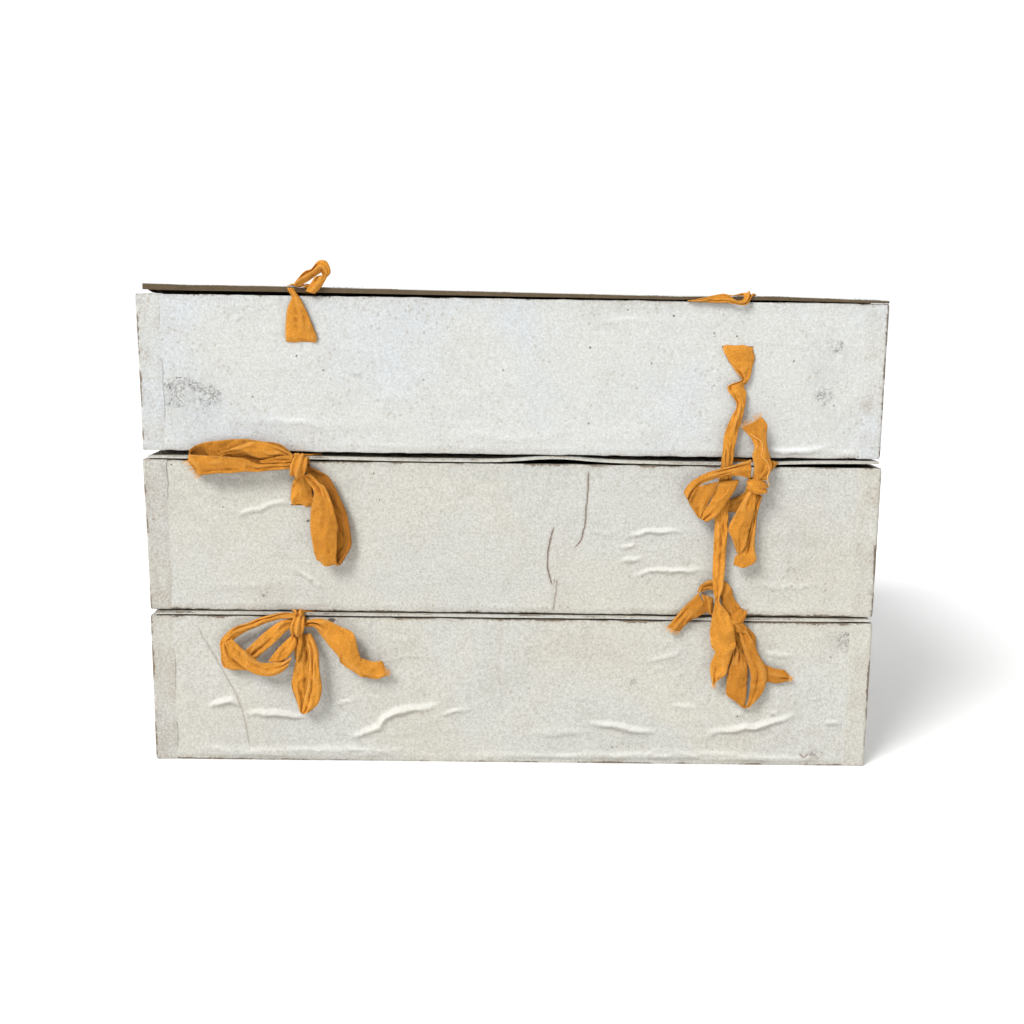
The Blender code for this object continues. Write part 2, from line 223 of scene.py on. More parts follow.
# The ribbons of each bow, as cross-sections (x, z of one edge, x, z of the other, out), in millimetres.
# A knot's band is (x, z, out, half height, half depth, lean in degrees, half width).
BOW_RIBBONS = {
    "middle_left": {
        "upper loop": [
            (-150, 217.5, -150, 211, 4), (-158, 224.5, -158, 212.5, 4.5),
            (-170, 226.5, -170.5, 211.5, 5), (-182.5, 228, -183, 211, 5),
            (-202.5, 226.5, -203.5, 210.5, 5.5), (-212.5, 224.5, -211, 214, 6.5),
            (-218.5, 221, -216.5, 215, 8), (-218.5, 218.5, -215.5, 210.5, 9.5),
            (-213, 217.5, -213.5, 206.5, 10.6), (-210.5, 217.5, -211, 204.5, 11),
            (-201.5, 217, -202, 205.5, 11), (-190, 216.5, -190, 206, 11),
            (-181.5, 215.5, -181, 207, 10.6), (-172.5, 212, -172.5, 207, 10),
            (-163.5, 213, -163.5, 208, 9.6), (-149.5, 213, -151, 209, 8.8),
        ],
        "middle leaf": [
            (-200.5, 218, -200, 217.5, 6.8), (-196, 220, -188.5, 219, 7),
            (-186.5, 223.5, -179, 217.5, 7.6), (-176, 227, -172, 215.5, 8),
            (-168.5, 226.5, -166.5, 216, 8), (-160, 224, -158.5, 216.5, 7.6),
            (-149.5, 218, -150, 212.5, 6.6),
        ],
        "twisted strand": [
            (-172, 214, -171, 213, 9.4), (-163.5, 216, -163, 213, 9.8),
            (-156.5, 217.5, -155.5, 213.5, 10), (-149, 218, -149, 213, 9.8),
        ],
        "tail": [
            (-194, 215.5, -194, 206, 3.4), (-206.5, 215, -206.5, 204.5, 3.4),
            (-214.5, 215, -212, 203.5, 3.8), (-221.5, 213, -213, 202.5, 4.4),
        ],
        "hanging loop": [
            (-142.5, 208.5, -140.5, 210.5, 5), (-139.5, 203, -127.5, 204, 5),
            (-135, 194, -122.5, 196.5, 5), (-132, 185, -118.5, 187.5, 5.2),
            (-129, 175.5, -114.5, 178, 5.4), (-126, 166, -112, 164.5, 5.6),
            (-125.5, 156.5, -111.5, 156, 6), (-127, 149.5, -115, 149, 7), (-133.5, 146, -119, 143, 8.8),
            (-135, 149.5, -121, 146.5, 10.4), (-137, 160.5, -120.5, 157.5, 11),
            (-138, 169, -120.5, 165.5, 11), (-138, 174.5, -120, 170.5, 10.8),
            (-137.5, 181.5, -122, 179.5, 10.4), (-136, 189.5, -123.5, 185.5, 10),
            (-135.5, 194, -128, 196.5, 9.6), (-138.5, 198.5, -132, 199.5, 9),
            (-143.5, 204.5, -138.5, 206, 8.4),
        ],
        "knot": (-145.4, 210.4, 8.0, 6.6, 4.4, 12, 4.6),
    },
    "bottom_left": {
        "outer loop": [
            (-149, 108.5, -150, 104.5, 6), (-160, 108.5, -159, 104.5, 6), (-172, 105.5, -169, 101.5, 6),
            (-182, 101.5, -177, 98, 6), (-191, 98.5, -185, 94.5, 6.2), (-198, 93, -192.5, 89.5, 6.6),
            (-201.5, 88, -196, 86, 7), (-201.5, 80.5, -195.5, 81, 7), (-200.5, 70, -191.5, 76.5, 6.2),
            (-193, 67.5, -186.5, 71, 5.4), (-184.5, 67, -182, 68.5, 5),
        ],
        "crossing": [
            (-193, 90, -198.5, 88, 8), (-188, 85.5, -195.5, 82, 9.4), (-184, 82.5, -189.5, 74.5, 10),
            (-174.5, 75, -181.5, 68, 10), (-168.5, 74, -175.5, 65.5, 9.8),
            (-163, 74.5, -166.5, 64.5, 9.2), (-158.5, 74.5, -160.5, 66.5, 8.8),
            (-152.5, 78, -155.5, 70.5, 8.4),
        ],
        "inner": [
            (-151.5, 93.5, -149, 89.5, 5), (-157, 88.5, -150, 84.5, 5.4),
            (-163.5, 81.5, -155.5, 77, 5.8), (-169, 74, -159.5, 73, 6.4),
        ],
        "diagonal": [
            (-150, 104.5, -148.5, 101, 5.6), (-159, 103, -155, 97, 5.8), (-168, 97, -161, 91, 5.8),
            (-176.5, 89.5, -169.5, 83, 5.6), (-184, 82, -177.5, 76, 5.2), (-187.5, 79, -182, 73, 4.8),
        ],
        "hanging back": [
            (-148.5, 93, -144.5, 92.5, 4.6), (-149.5, 78.5, -140, 80.5, 4.6),
            (-152.5, 63.5, -141, 63.5, 4.8), (-153.5, 56, -143, 55, 5.2), (-150, 45, -144, 44.5, 6),
            (-147, 37.5, -145.5, 37, 7),
        ],
        "hanging front": [
            (-144, 93.5, -139.5, 94.5, 6.4), (-140, 81.5, -134.5, 83, 8.4),
            (-140.5, 68.5, -133.5, 68.5, 9.6), (-142, 56.5, -132, 56.5, 9.6),
            (-144.5, 46, -134.5, 45.5, 9), (-145.5, 38.5, -140, 39.5, 8), (-146.5, 37, -144.5, 37, 7.2),
        ],
        "thin strand": [
            (-148, 94.5, -145, 94.5, 7.4), (-147.5, 88, -145, 88, 8), (-148.5, 81, -146.5, 81, 7.6),
            (-149, 74, -148, 75, 6.6),
        ],
        "tail": [
            (-145.5, 102.5, -144.5, 99, 6.4), (-137, 104.5, -137, 99, 6.6),
            (-127.5, 104, -132.5, 93.5, 6.8), (-117.5, 99, -126, 85.5, 7.4),
            (-109.5, 95, -120, 78.5, 8.4), (-107, 84.5, -118.5, 74, 8.4), (-105, 77.5, -111.5, 69, 7.6),
            (-103.5, 77, -106.5, 65, 6.4), (-97, 74.5, -102, 63, 5.4), (-91, 75, -95, 62, 5),
            (-89, 71, -88, 64, 5),
        ],
        "knot": (-147.9, 99.6, 7.2, 5.7, 4.2, 6, 3.9),
    },
    "middle_right": {
        "upper tail": [
            (159.5, 205.5, 169, 205.5, 10), (160, 214.5, 172, 214, 10.4),
            (158.5, 222.5, 170.5, 221.5, 10.4), (160, 227, 168.5, 228, 9.8),
            (157.5, 233.5, 167.5, 235.5, 9.6), (152, 239, 167.5, 242.5, 9.4),
            (151, 240.5, 164, 247.5, 9.4),
        ],
        "loop top": [
            (157.5, 219.5, 158, 206.5, 11.4), (150.5, 217, 150, 208.5, 12),
            (141.5, 214, 139, 207.5, 12.2), (131, 211, 129, 204.5, 12), (122, 206.5, 124.5, 202, 11.4),
            (116, 201, 119.5, 195, 10.6), (113.5, 196.5, 117.5, 189.5, 10),
        ],
        "loop left": [
            (115.5, 198.5, 137, 204, 8.8), (117, 190, 134.5, 197.5, 9), (121, 183.5, 130, 188, 9),
            (124.5, 178.5, 125.5, 179.5, 9),
        ],
        "loop right": [
            (138, 204, 151, 205, 8), (135, 197.5, 148, 197.5, 8.4), (132, 190, 143, 190, 8.8),
            (127.5, 183, 138, 181.5, 9), (125, 178.5, 130, 176, 9),
        ],
        "lower left": [
            (157.5, 198, 163, 195, 8.6), (152, 188.5, 162, 188, 10), (148, 180, 160.5, 179, 10.4),
            (144.5, 172, 158.5, 170, 10.4), (148, 164, 157, 161.5, 10), (151.5, 155, 154.5, 154.5, 9.4),
        ],
        "lower right": [
            (163.5, 194.5, 167, 194.5, 7.4), (161.5, 184, 164.5, 183.5, 7.2),
            (160, 171, 163.5, 171, 7.2), (156.5, 160, 163.5, 157.5, 7.8), (153.5, 155, 164.5, 150, 9),
            (150.5, 153, 161.5, 147, 9.2), (149.5, 146.5, 157, 144.5, 8.4),
        ],
        "knot": (163.2, 201.2, 9.4, 5.9, 4.0, 93, 4.3),
    },
    "bottom_right": {
        "top loop": [
            (127, 125.5, 129.5, 126.5, 2.6), (128.5, 130.5, 132.5, 127.5, 3),
            (134.5, 134.5, 137, 127.5, 3.2), (144.5, 134, 143, 121.5, 3.2),
            (149.5, 129.5, 144, 118, 3.4), (152, 121.5, 148.5, 112, 3.6), (156.5, 116, 150.5, 108.5, 4),
        ],
        "left tail": [
            (127, 125.5, 134.5, 112, 3), (122.5, 120.5, 131, 110.5, 3), (117.5, 115.5, 124, 106.5, 3),
            (111.5, 107.5, 119, 102.5, 3), (106.5, 101, 115.5, 98, 3),
        ],
        "inner leaf": [
            (129, 125, 137.5, 122, 3.4), (132.5, 115.5, 137, 113.5, 3.6), (136, 110, 137.5, 110, 3.6),
        ],
        "side leaf": [
            (159.5, 102.5, 161.5, 101.5, 2.4), (161.5, 97.5, 167.5, 95.5, 2.6),
            (164, 93, 168.5, 90, 2.6), (167.5, 88, 168.5, 87, 2.4),
        ],
        "lower left": [
            (153, 90, 159, 84, 2.8), (154.5, 83, 161, 80.5, 3.2), (150.5, 72, 163.4, 70.5, 3.4),
            (149, 60, 163.2, 59.5, 3.6), (149.5, 53, 163, 52, 3.8), (156, 48, 163, 46, 3.8),
            (161.5, 43.5, 163, 43.5, 3.6),
        ],
        "lower right": [
            (156, 98.5, 161, 100, 4), (158, 90.5, 166, 92, 4.4), (161, 81, 171, 81, 4.6),
            (165, 70, 176.5, 71.5, 4.8), (165.6, 60.5, 175.5, 59, 4.8), (165.2, 51.5, 171.5, 50.5, 4.6),
            (162.6, 43, 166.5, 45.5, 4.2),
        ],
        "pleats": [
            (150.5, 107, 159.5, 104, 4.2), (151.5, 103, 161.5, 101, 4.6), (154.5, 98, 161, 98, 4.4),
        ],
        "tail": [
            (174.5, 75, 175.5, 62.5, 2.6), (182.5, 72, 182.5, 61.5, 2.6), (189, 71, 186.5, 61.5, 2.6),
            (192.5, 67.5, 192, 63, 2.6),
        ],
        "knot": (154.6, 108.4, 3.3, 6.0, 2.4, 28, 4.2),
        "back strip": [(152.5, 87, 155.5, 89.5, 2.2), (151.5, 73.5, 155, 83, 2.2)],
    },
}

# The tapes outside the walls, from just above or below their slits, in the same form.
WALL_TAPES = {
    "bottom_left": [
        (-151.5, 77, -140, 77, 1.0), (-151.5, 84, -142, 85, 1.6), (-150.5, 93, -144, 93, 3),
    ],
    "bottom_right": [(140, 79, 160, 79, 0.7), (144, 89, 159, 90, 0.9), (148, 99, 158, 99, 1.3)],
    "middle_left": [
        (-152.5, 188, -137.5, 188, 1.6), (-151.5, 196, -138.5, 197, 2.6), (-149, 202.5, -142, 204, 4.6),
    ],
    "middle_right": [(143, 188, 160, 188, 1.2), (154, 194, 166, 194, 3), (157, 199, 167, 199, 6.4)],
    "top_left": [
        (-154, 297, -133.8, 296.5, 2.4), (-154, 303.5, -136, 302.5, 2.8), (-152.5, 315, -140, 313, 3.2),
        (-149.5, 322.5, -144, 321.5, 3.6), (-151, 326, -147, 325.5, 3.6),
        (-152.3, 328.6, -148.5, 328.4, 3.4),
    ],
    "top_right": [
        (137.5, 291, 157.5, 291, 2.6), (141.5, 284.5, 158.5, 286.5, 3), (146, 278, 157, 280, 3.6),
        (150.5, 272, 155, 271.5, 4), (141.5, 268, 152, 268, 5), (141.5, 264.5, 153.5, 263.5, 5.6),
        (147.5, 256, 153, 255.5, 5.8), (143.5, 245, 151, 244.5, 6), (140, 235, 148.5, 234.5, 6),
        (139, 218, 146.5, 217.5, 6), (136.5, 190.5, 145, 189.5, 6), (136, 177, 145, 177, 6),
        (136, 142, 144, 142.5, 6), (137, 128.5, 143, 129, 6), (138.5, 120.5, 141, 120.5, 6),
        (137, 111.5, 147, 113, 6.4), (135.5, 100.5, 151.5, 103, 7), (136, 94, 153, 94, 7.4),
        (137, 88.5, 153.5, 90.5, 7.6), (140, 84, 153, 88, 7.4), (139, 81.5, 152, 85, 6.4),
        (137, 75.5, 150, 77, 5.8), (137, 71, 148, 69, 5.8), (139, 61, 142.5, 64, 5.8),
    ],
}

# The lid tapes in front of the lids' edges, in the same form.
LID_TAPES = {
    "bottom_left": [
        (-151.5, 108, -145, 108, 1.4), (-150, 106, -144.5, 106.5, 3.4), (-149, 103.8, -144, 104.6, 5.2),
    ],
    "bottom_right": [(146, 108, 159, 108, 1), (149, 107.6, 159, 107.8, 1.5)],
    "middle_left": [
        (-151, 216.8, -143.5, 216.8, 1.8), (-149.5, 216.4, -143, 216.8, 4),
        (-148, 215.6, -142.4, 216.4, 6),
    ],
    "middle_right": [
        (163, 216.8, 178, 216.6, 1.6), (167, 213.5, 176.5, 214.8, 3), (165.5, 208.5, 171.5, 209.6, 5.6),
    ],
    "top_left": [
        (-151, 330.4, -136, 330, 2), (-148, 330.8, -138, 330.6, 3), (-144, 331, -140, 331, 3.6),
    ],
    "top_right": [
        (149.5, 328.6, 156, 328.4, 2.4), (149, 325, 152.5, 323, 4.5), (144.5, 324.5, 149.5, 321.5, 5),
        (137.5, 328.5, 141.5, 322.5, 4.6), (129.5, 327.5, 137, 323, 3.6), (119.5, 325, 128, 323, 2.8),
        (112.5, 324, 114.5, 323.5, 2.2),
    ],
}
# The loop that stands on the top lid, in the same form.
TOP_LOOP = [
    (-148.5, 330.5, -147, 330.5, 4), (-141, 339, -143.5, 330.5, 4), (-136, 341, -139, 333, 4.4),
    (-131, 346.5, -130, 339, 5), (-126, 346, -129, 337.5, 5), (-123.5, 339.5, -128, 337, 5),
    (-126, 335.5, -133, 336, 5), (-130, 329, -135.5, 333, 4.6), (-134, 325, -140, 326.5, 4),
]

# The parts of each bow whose cut ends have frayed.
FRAYED = {
    "middle_left": ["tail"],
    "bottom_left": ["tail"],
    "middle_right": ["upper tail"],
    "bottom_right": ["left tail", "tail"],
}


def settings():
    return bpy.context.scene.archive


# ---- materials


class Wire:
    """A node's output, on which Python's own signs make Math nodes."""

    def __init__(self, bench, socket):
        self.bench = bench
        self.socket = socket

    def _with(self, operation, *values):
        return self.bench.node("ShaderNodeMath", {"operation": operation}, dict(enumerate(values)))

    def __add__(self, other):
        return self._with("ADD", self, other)

    def __radd__(self, other):
        return self._with("ADD", other, self)

    def __sub__(self, other):
        return self._with("SUBTRACT", self, other)

    def __rsub__(self, other):
        return self._with("SUBTRACT", other, self)

    def __mul__(self, other):
        return self._with("MULTIPLY", self, other)

    def __rmul__(self, other):
        return self._with("MULTIPLY", other, self)

    def __truediv__(self, other):
        return self._with("DIVIDE", self, other)

    def __abs__(self):
        return self._with("ABSOLUTE", self)

    def wave(self):
        return self._with("SINE", self)

    def least(self, other):
        return self._with("MINIMUM", self, other)

    def most(self, other):
        return self._with("MAXIMUM", self, other)

    def between(self, low, high):
        """0 below low, 1 above high, and smooth between; low may be the larger."""
        values = {"Value": self, "From Min": low, "From Max": high, "To Min": 0.0, "To Max": 1.0}
        return self.bench.node("ShaderNodeMapRange", {"interpolation_type": "SMOOTHSTEP"}, values)


class Bench:
    """One material's node tree, and the shader that it feeds."""

    def __init__(self, name, **uniform):
        self.material = bpy.data.materials.new(name)
        self.material.use_nodes = True
        self.tree = self.material.node_tree
        self.shader = self.tree.nodes["Principled BSDF"]
        for socket, value in uniform.items():
            self.shader.inputs[socket.replace("_", " ")].default_value = value
        self.coords = self.node("ShaderNodeTexCoord", {}, {}, "Object")

    def node(self, kind, chosen, values, output=0):
        made = self.tree.nodes.new(kind)
        for key, value in chosen.items():
            setattr(made, key, value)
        for key, value in values.items():
            socket = made.inputs[key]
            if isinstance(value, Wire):
                self.tree.links.new(value.socket, socket)
            else:
                socket.default_value = value
        return Wire(self, made.outputs[output])

    def noise(self, scale, detail=3.0, rough=0.55, twist=0.0, vector=None):
        values = {"Vector": vector or self.coords, "Scale": scale, "Detail": detail, "Roughness": rough}
        return self.node("ShaderNodeTexNoise", {}, {**values, "Distortion": twist}, "Fac")

    def cells(self, scale, feature="F1", output="Distance", vector=None):
        values = {"Vector": vector or self.coords, "Scale": scale}
        return self.node("ShaderNodeTexVoronoi", {"feature": feature}, values, output)

    def stretched(self, scale, vector=None):
        values = {"Vector": vector or self.coords, "Scale": scale}
        return self.node("ShaderNodeMapping", {}, values)

    def painted(self, name):
        return self.node("ShaderNodeAttribute", {"attribute_name": name}, {}, "Fac")

    def mix(self, share, first, second):
        return self.node("ShaderNodeMix", {"data_type": "RGBA"}, {0: share, 6: first, 7: second}, 2)

    def coated(self, base, *coats):
        """The base with coats laid over it in turn, each a (share, colour)."""
        for share, colour in coats:
            base = self.mix(share, base, shade(colour[:3]))
        return base

    def feed(self, colour, roughness, height, distance):
        self.tree.links.new(colour.socket, self.shader.inputs["Base Color"])
        self.tree.links.new(roughness.socket, self.shader.inputs["Roughness"])
        bump = self.node("ShaderNodeBump", {}, {"Distance": distance, "Height": height, "Strength": 1.0})
        self.tree.links.new(bump.socket, self.shader.inputs["Normal"])
        return self.material


def shade(colour, factor=1.0):
    return (colour[0] * factor, colour[1] * factor, colour[2] * factor, 1.0)


def paper_finish(name, colour, seed, grime=1.0):
    """Old white covering paper on board: grainy, flecked, scuffed, worn through at the edges, and with a
    painted highlight and painted shade on its creases.
    """
    bench = Bench(name, Specular_IOR_Level=0.2)
    shift = (seed, seed * 0.7, seed * 0.3)
    offset = bench.node("ShaderNodeVectorMath", {"operation": "ADD"}, {0: bench.coords, 1: shift})
    cloud = bench.noise(9.0, 4.0, 0.6, 0.4, offset)
    patch = bench.noise(38.0, 4.0, 0.6, 0.3, offset)
    mottle = bench.noise(170.0, 4.0, 0.7, 0.3, offset)
    coarse = bench.noise(620.0, 4.0, 0.7, 0.4, offset)
    grain = bench.noise(1500.0, 2.0, 0.6, 0.0, offset)
    streaks = bench.noise(60.0, 3.0, 0.5, 0.0, bench.stretched((0.35, 1.0, 5.0), offset))
    warm = shade((colour[0] * 1.015, colour[1] * 0.99, colour[2] * 0.93))
    cool = shade((colour[0] * 0.99, colour[1] * 1.0, colour[2] * 1.02))
    dull = shade((colour[0] * 0.74, colour[1] * 0.73, colour[2] * 0.68))
    base = bench.mix(cloud.between(0.38, 0.62), cool, warm)
    base = bench.coated(
        base,
        (patch.between(0.48, 0.74) * 0.26 * grime, dull),
        (mottle.between(0.52, 0.70) * 0.20 * grime, dull),
        (streaks.between(0.55, 0.8) * 0.20, dull),
        (coarse.between(0.47, 0.64) * 0.62 * grime, dull),
        (grain.between(0.46, 0.62) * 0.50, dull),
        (coarse.between(0.47, 0.36) * 0.60, shade(colour, 1.12)),
    )
    bent = bench.node("ShaderNodeVectorMath", {"operation": "ADD"}, {0: offset, 1: grain * 0.0016})
    fleck = bench.cells(300.0, vector=bent)
    pick = bench.cells(300.0, output="Color", vector=bent)
    flecks = fleck.between(0.38, 0.20) * pick.between(0.60, 0.68) * patch.between(0.40, 0.58)
    base = bench.mix(flecks * 0.42 * grime, base, shade(RUST))
    speck = bench.cells(120.0, vector=bent)
    choice = bench.cells(120.0, output="Color", vector=bent)
    specks = speck.between(0.11, 0.06) * choice.between(0.77, 0.79)
    base = bench.mix(specks * 0.80, base, shade(DARK_SPECK))
    # A painted highlight where the relief faces up, and painted shade where it faces down.
    crest = bench.painted("crest")
    base = bench.coated(
        base,
        (crest.between(0.08, 0.9) * 0.55, shade(colour, 1.32)),
        (crest.between(-0.10, -0.9) * 0.46, CREASE_SHADE),
    )
    stain = bench.painted("stain")
    stains = stain * (0.35 + patch.between(0.3, 0.7) * 0.65) * (0.5 + coarse.between(0.38, 0.62) * 0.5)
    base = bench.mix(stains.least(0.9) * 0.62, base, shade(STAIN_BROWN))
    grey = bench.painted("grey") * (0.25 + mottle.between(0.35, 0.65) * 0.75)
    base = bench.mix(grey.least(0.9) * 0.40, base, shade(GREY_RUB))
    scuff = bench.painted("scuff")
    crackle = bench.noise(120.0, 4.0, 0.60, 1.2, offset)
    finer = bench.noise(260.0, 3.0, 0.6, 1.0, offset)
    lines = abs(crackle - 0.5).between(0.022, 0.006).most(abs(finer - 0.5).between(0.016, 0.004) * 0.7)
    rubbed = lines * (scuff + (mottle - 0.5) * 0.9).between(0.25, 0.7) * scuff.between(0.05, 0.2)
    base = bench.mix(rubbed * 0.80, base, shade(SCUFF_GREY))
    spot = bench.painted("spot")
    spots = (spot + (coarse - 0.5) * 0.9).between(0.42, 0.62) * spot.between(0.1, 0.3)
    base = bench.mix(spots * 0.85, base, shade(INK_SPOT))
    side = bench.painted("crack_side")
    depth = bench.painted("crack_depth")
    wander = (bench.noise(190.0, 4.0, 0.7, 0.0, offset) - 0.5) * 2.2
    off_line = abs(side + wander)
    cracked = off_line.between(0.85, 0.10) * depth.between(0.05, 0.9) * coarse.between(0.30, 0.46)
    halo = off_line.between(2.2, 0.3) * depth
    base = bench.coated(
        base,
        (halo.least(1.0) * 0.26, CRACK_EDGE),
        (cracked * 0.78, CRACK_BROWN),
    )
    wear = bench.painted("wear")
    ragged = bench.noise(420.0, 4.0, 0.7, 0.5, offset)
    bare = (wear + (ragged - 0.5) * 1.5 + (patch - 0.5) * 1.1).between(0.80, 0.98)
    dusty = wear.between(0.05, 0.95) * (0.25 + coarse.between(0.35, 0.65) * 0.75)
    base = bench.coated(
        base,
        (dusty * 0.34, HANDLED_BROWN),
        (bare * settings().wear, BARE_BROWN),
    )
    roughness = 0.68 + grain * 0.16 + bare * 0.12
    height = grain * 0.00013 + coarse * 0.00030 + mottle * 0.00040 + ragged * 0.00010 + streaks * 0.00022
    height = height - cracked * 0.0005 - bare * 0.00035 - flecks * 0.00006 - rubbed * 0.00010
    return bench.feed(base, roughness, height, 1.0)


def board_finish(name, colour, seed):
    """Bare grey-brown pulp board, with short fibres pressed into it."""
    bench = Bench(name, Specular_IOR_Level=0.2)
    fibre = bench.noise(700.0, 4.0, 0.65, 0.8, bench.stretched((1.0, 1.0, 3.0)))
    patch = bench.noise(60.0 + seed, 3.0, 0.6)
    layer = bench.noise(1500.0, 2.0, 0.5, 0.0, bench.stretched((0.05, 0.05, 1.6)))
    base = bench.mix(fibre.between(0.3, 0.7), shade(colour, 0.72), shade(colour, 1.25))
    base = bench.coated(
        base,
        (patch.between(0.45, 0.75) * 0.35, shade(colour, 0.6)),
        (layer.between(0.5, 0.75) * 0.4, shade(colour, 1.7)),
    )
    roughness = 0.82 + fibre * 0.12
    return bench.feed(base, roughness, fibre * 0.00014 + layer * 0.00012, 1.0)


def lining_finish(name, colour):
    """The brown lining paper under the lids, with laid fibres and old creases."""
    bench = Bench(name, Specular_IOR_Level=0.25)
    fibre = bench.noise(480.0, 4.0, 0.65, 0.6, bench.stretched((1.0, 0.28, 1.0)))
    cloud = bench.noise(14.0, 4.0, 0.6, 0.5)
    crease = bench.cells(26.0, feature="DISTANCE_TO_EDGE")
    fleck = bench.cells(420.0)
    base = bench.mix(fibre.between(0.3, 0.72), shade(colour, 0.78), shade(colour, 1.22))
    base = bench.coated(
        base,
        (cloud.between(0.4, 0.7) * 0.4, shade((colour[0] * 0.9, colour[1] * 0.82, colour[2] * 0.7))),
        (crease.between(0.035, 0.0) * 0.25, shade(colour, 1.6)),
        (fleck.between(0.2, 0.1) * 0.4, shade(colour, 0.4)),
    )
    roughness = 0.72 + fibre * 0.2
    height = fibre * 0.00008 + crease.between(0.05, 0.0) * 0.0002 + cloud * 0.0006
    return bench.feed(base, roughness, height, 1.0)


def tape_finish(name, colour):
    """Plain-woven cotton tape: warp and weft threads with a painted highlight on their tops, slubs,
    selvedges, and painted shade deep in its folds with a painted highlight on their ridges.
    """
    bench = Bench(name, Specular_IOR_Level=0.15, Sheen_Weight=0.10, Sheen_Roughness=0.5)
    bench.shader.inputs["Sheen Tint"].default_value = (1.0, 0.75, 0.4, 1.0)
    woven = bench.node("ShaderNodeUVMap", {"uv_map": "weave"}, {})
    parts = bench.node("ShaderNodeSeparateXYZ", {}, {0: woven}, "X")
    lengthwise = Wire(bench, parts.socket.node.outputs["Y"])
    slub = bench.noise(240.0, 3.0, 0.6, 0.0, bench.stretched((1.0, 6.0, 1.0), woven))
    slub_across = bench.noise(240.0, 3.0, 0.6, 0.0, bench.stretched((6.0, 1.0, 1.0), woven))
    fade = bench.noise(55.0, 3.0, 0.6, 0.3, woven)
    soil = bench.noise(120.0, 4.0, 0.65, 0.2, woven)
    warp = (parts * (2 * math.pi / 0.00075) + slub * 2.0).wave()
    weft = (lengthwise * (2 * math.pi / 0.00085) + slub_across * 2.0).wave()
    cross = warp * weft
    threads = warp.most(weft)
    share = parts / TAPE
    selvedge = abs(share - 0.5).between(0.455, 0.49)
    base = bench.mix(fade.between(0.3, 0.7), shade(colour, 0.86), shade(colour, 1.1))
    base = bench.coated(
        base,
        (cross.between(-0.2, -1.0) * 0.34, shade((colour[0] * 0.66, colour[1] * 0.52, colour[2] * 0.5))),
        # A painted highlight on the raised threads.
        (threads.between(0.7, 1.0) * 0.16, LIT_THREAD),
        (slub.between(0.56, 0.72) * 0.20, PALE_SLUB),
        (slub_across.between(0.56, 0.72) * 0.16, DARK_SLUB),
        (soil.between(0.52, 0.78) * 0.38, TAPE_SOIL),
        (selvedge * 0.24, SELVEDGE),
    )
    nap = bench.noise(900.0, 3.0, 0.65, 0.3, woven)
    base = bench.coated(
        base,
        (nap.between(0.48, 0.68) * 0.46, NAP_SHADE),
        (nap.between(0.46, 0.34) * 0.30, NAP_LIT),
        (bench.painted("aged") * 0.52, AGED_OCHRE),
    )
    # Painted fold shading: painted shade deep in folds and under turned-in tape, a painted highlight on fold
    # ridges.
    hollow = bench.painted("hollow")
    base = bench.coated(
        base,
        (hollow.between(0.05, 0.95) * 0.80, FOLD_SHADE),
        (hollow.between(-0.25, -1.0) * 0.20, FOLD_LIT),
    )
    roughness = 0.80 + soil * 0.15
    height = cross * 0.00016 + threads * 0.00016 + slub * 0.00030 + slub_across * 0.00020 + nap * 0.00035
    height = height + selvedge * 0.00016
    return bench.feed(base, roughness, height, 1.0)


def thread_finish(name, colour):
    bench = Bench(name, Specular_IOR_Level=0.15)
    twist = bench.noise(2400.0, 2.0)
    base = bench.mix(twist.between(0.35, 0.65), shade(colour, 0.9), shade(PALE_THREAD))
    return bench.feed(base, 0.8 + twist * 0.1, twist * 0.00004, 1.0)


def fibre_finish(name, colour):
    bench = Bench(name, Specular_IOR_Level=0.2)
    change = bench.noise(900.0, 2.0)
    base = bench.mix(change.between(0.35, 0.65), shade(colour, 0.85), shade(colour, 1.05))
    return bench.feed(base, 0.8 + change * 0.1, change * 0.00003, 1.0)


def floor_finish(name):
    bench = Bench(name, Specular_IOR_Level=0.05)
    change = bench.noise(3.0, 2.0)
    base = bench.mix(change.between(0.3, 0.7), shade((0.975, 0.975, 0.975)), shade((0.98, 0.98, 0.98)))
    return bench.feed(base, 0.9 + change * 0.02, change * 0.0001, 1.0)


def finish(name):
    """The named finish, made once."""
    own = f"worked_{name}"
    made = bpy.data.materials.get(own)
    if made is not None:
        return made
    chosen = settings()
    makers = {
        "cool_white_paper_on_board": lambda: paper_finish(own, chosen.cool_paper, 3.1, 0.8),
        "warm_white_paper_on_board": lambda: paper_finish(own, chosen.warm_paper, 8.7, 1.25),
        "cool_white_paper": lambda: paper_finish(own, [c * 0.985 for c in chosen.cool_paper], 5.3, 1.0),
        "warm_white_paper": lambda: paper_finish(own, [c * 0.985 for c in chosen.warm_paper], 1.9, 1.3),
        "greyboard": lambda: board_finish(own, chosen.board_colour, 7.0),
        # The top lid's board: the lining's brown darkened to 0.55, partly its own colour and partly painted
        # shade for its shaded rim and underside.
        "lid_board": lambda: board_finish(own, [c * 0.55 for c in chosen.lining_colour], 3.0),
        "brown_lining_paper": lambda: lining_finish(own, chosen.lining_colour),
        "ochre_cotton_tape": lambda: tape_finish(own, chosen.tape_colour),
        "loose_thread": lambda: thread_finish(own, chosen.tape_colour),
        "torn_paper_fibre": lambda: fibre_finish(own, chosen.cool_paper),
        "studio_floor": lambda: floor_finish(own),
    }
    return makers[name]()


# ---- shared making


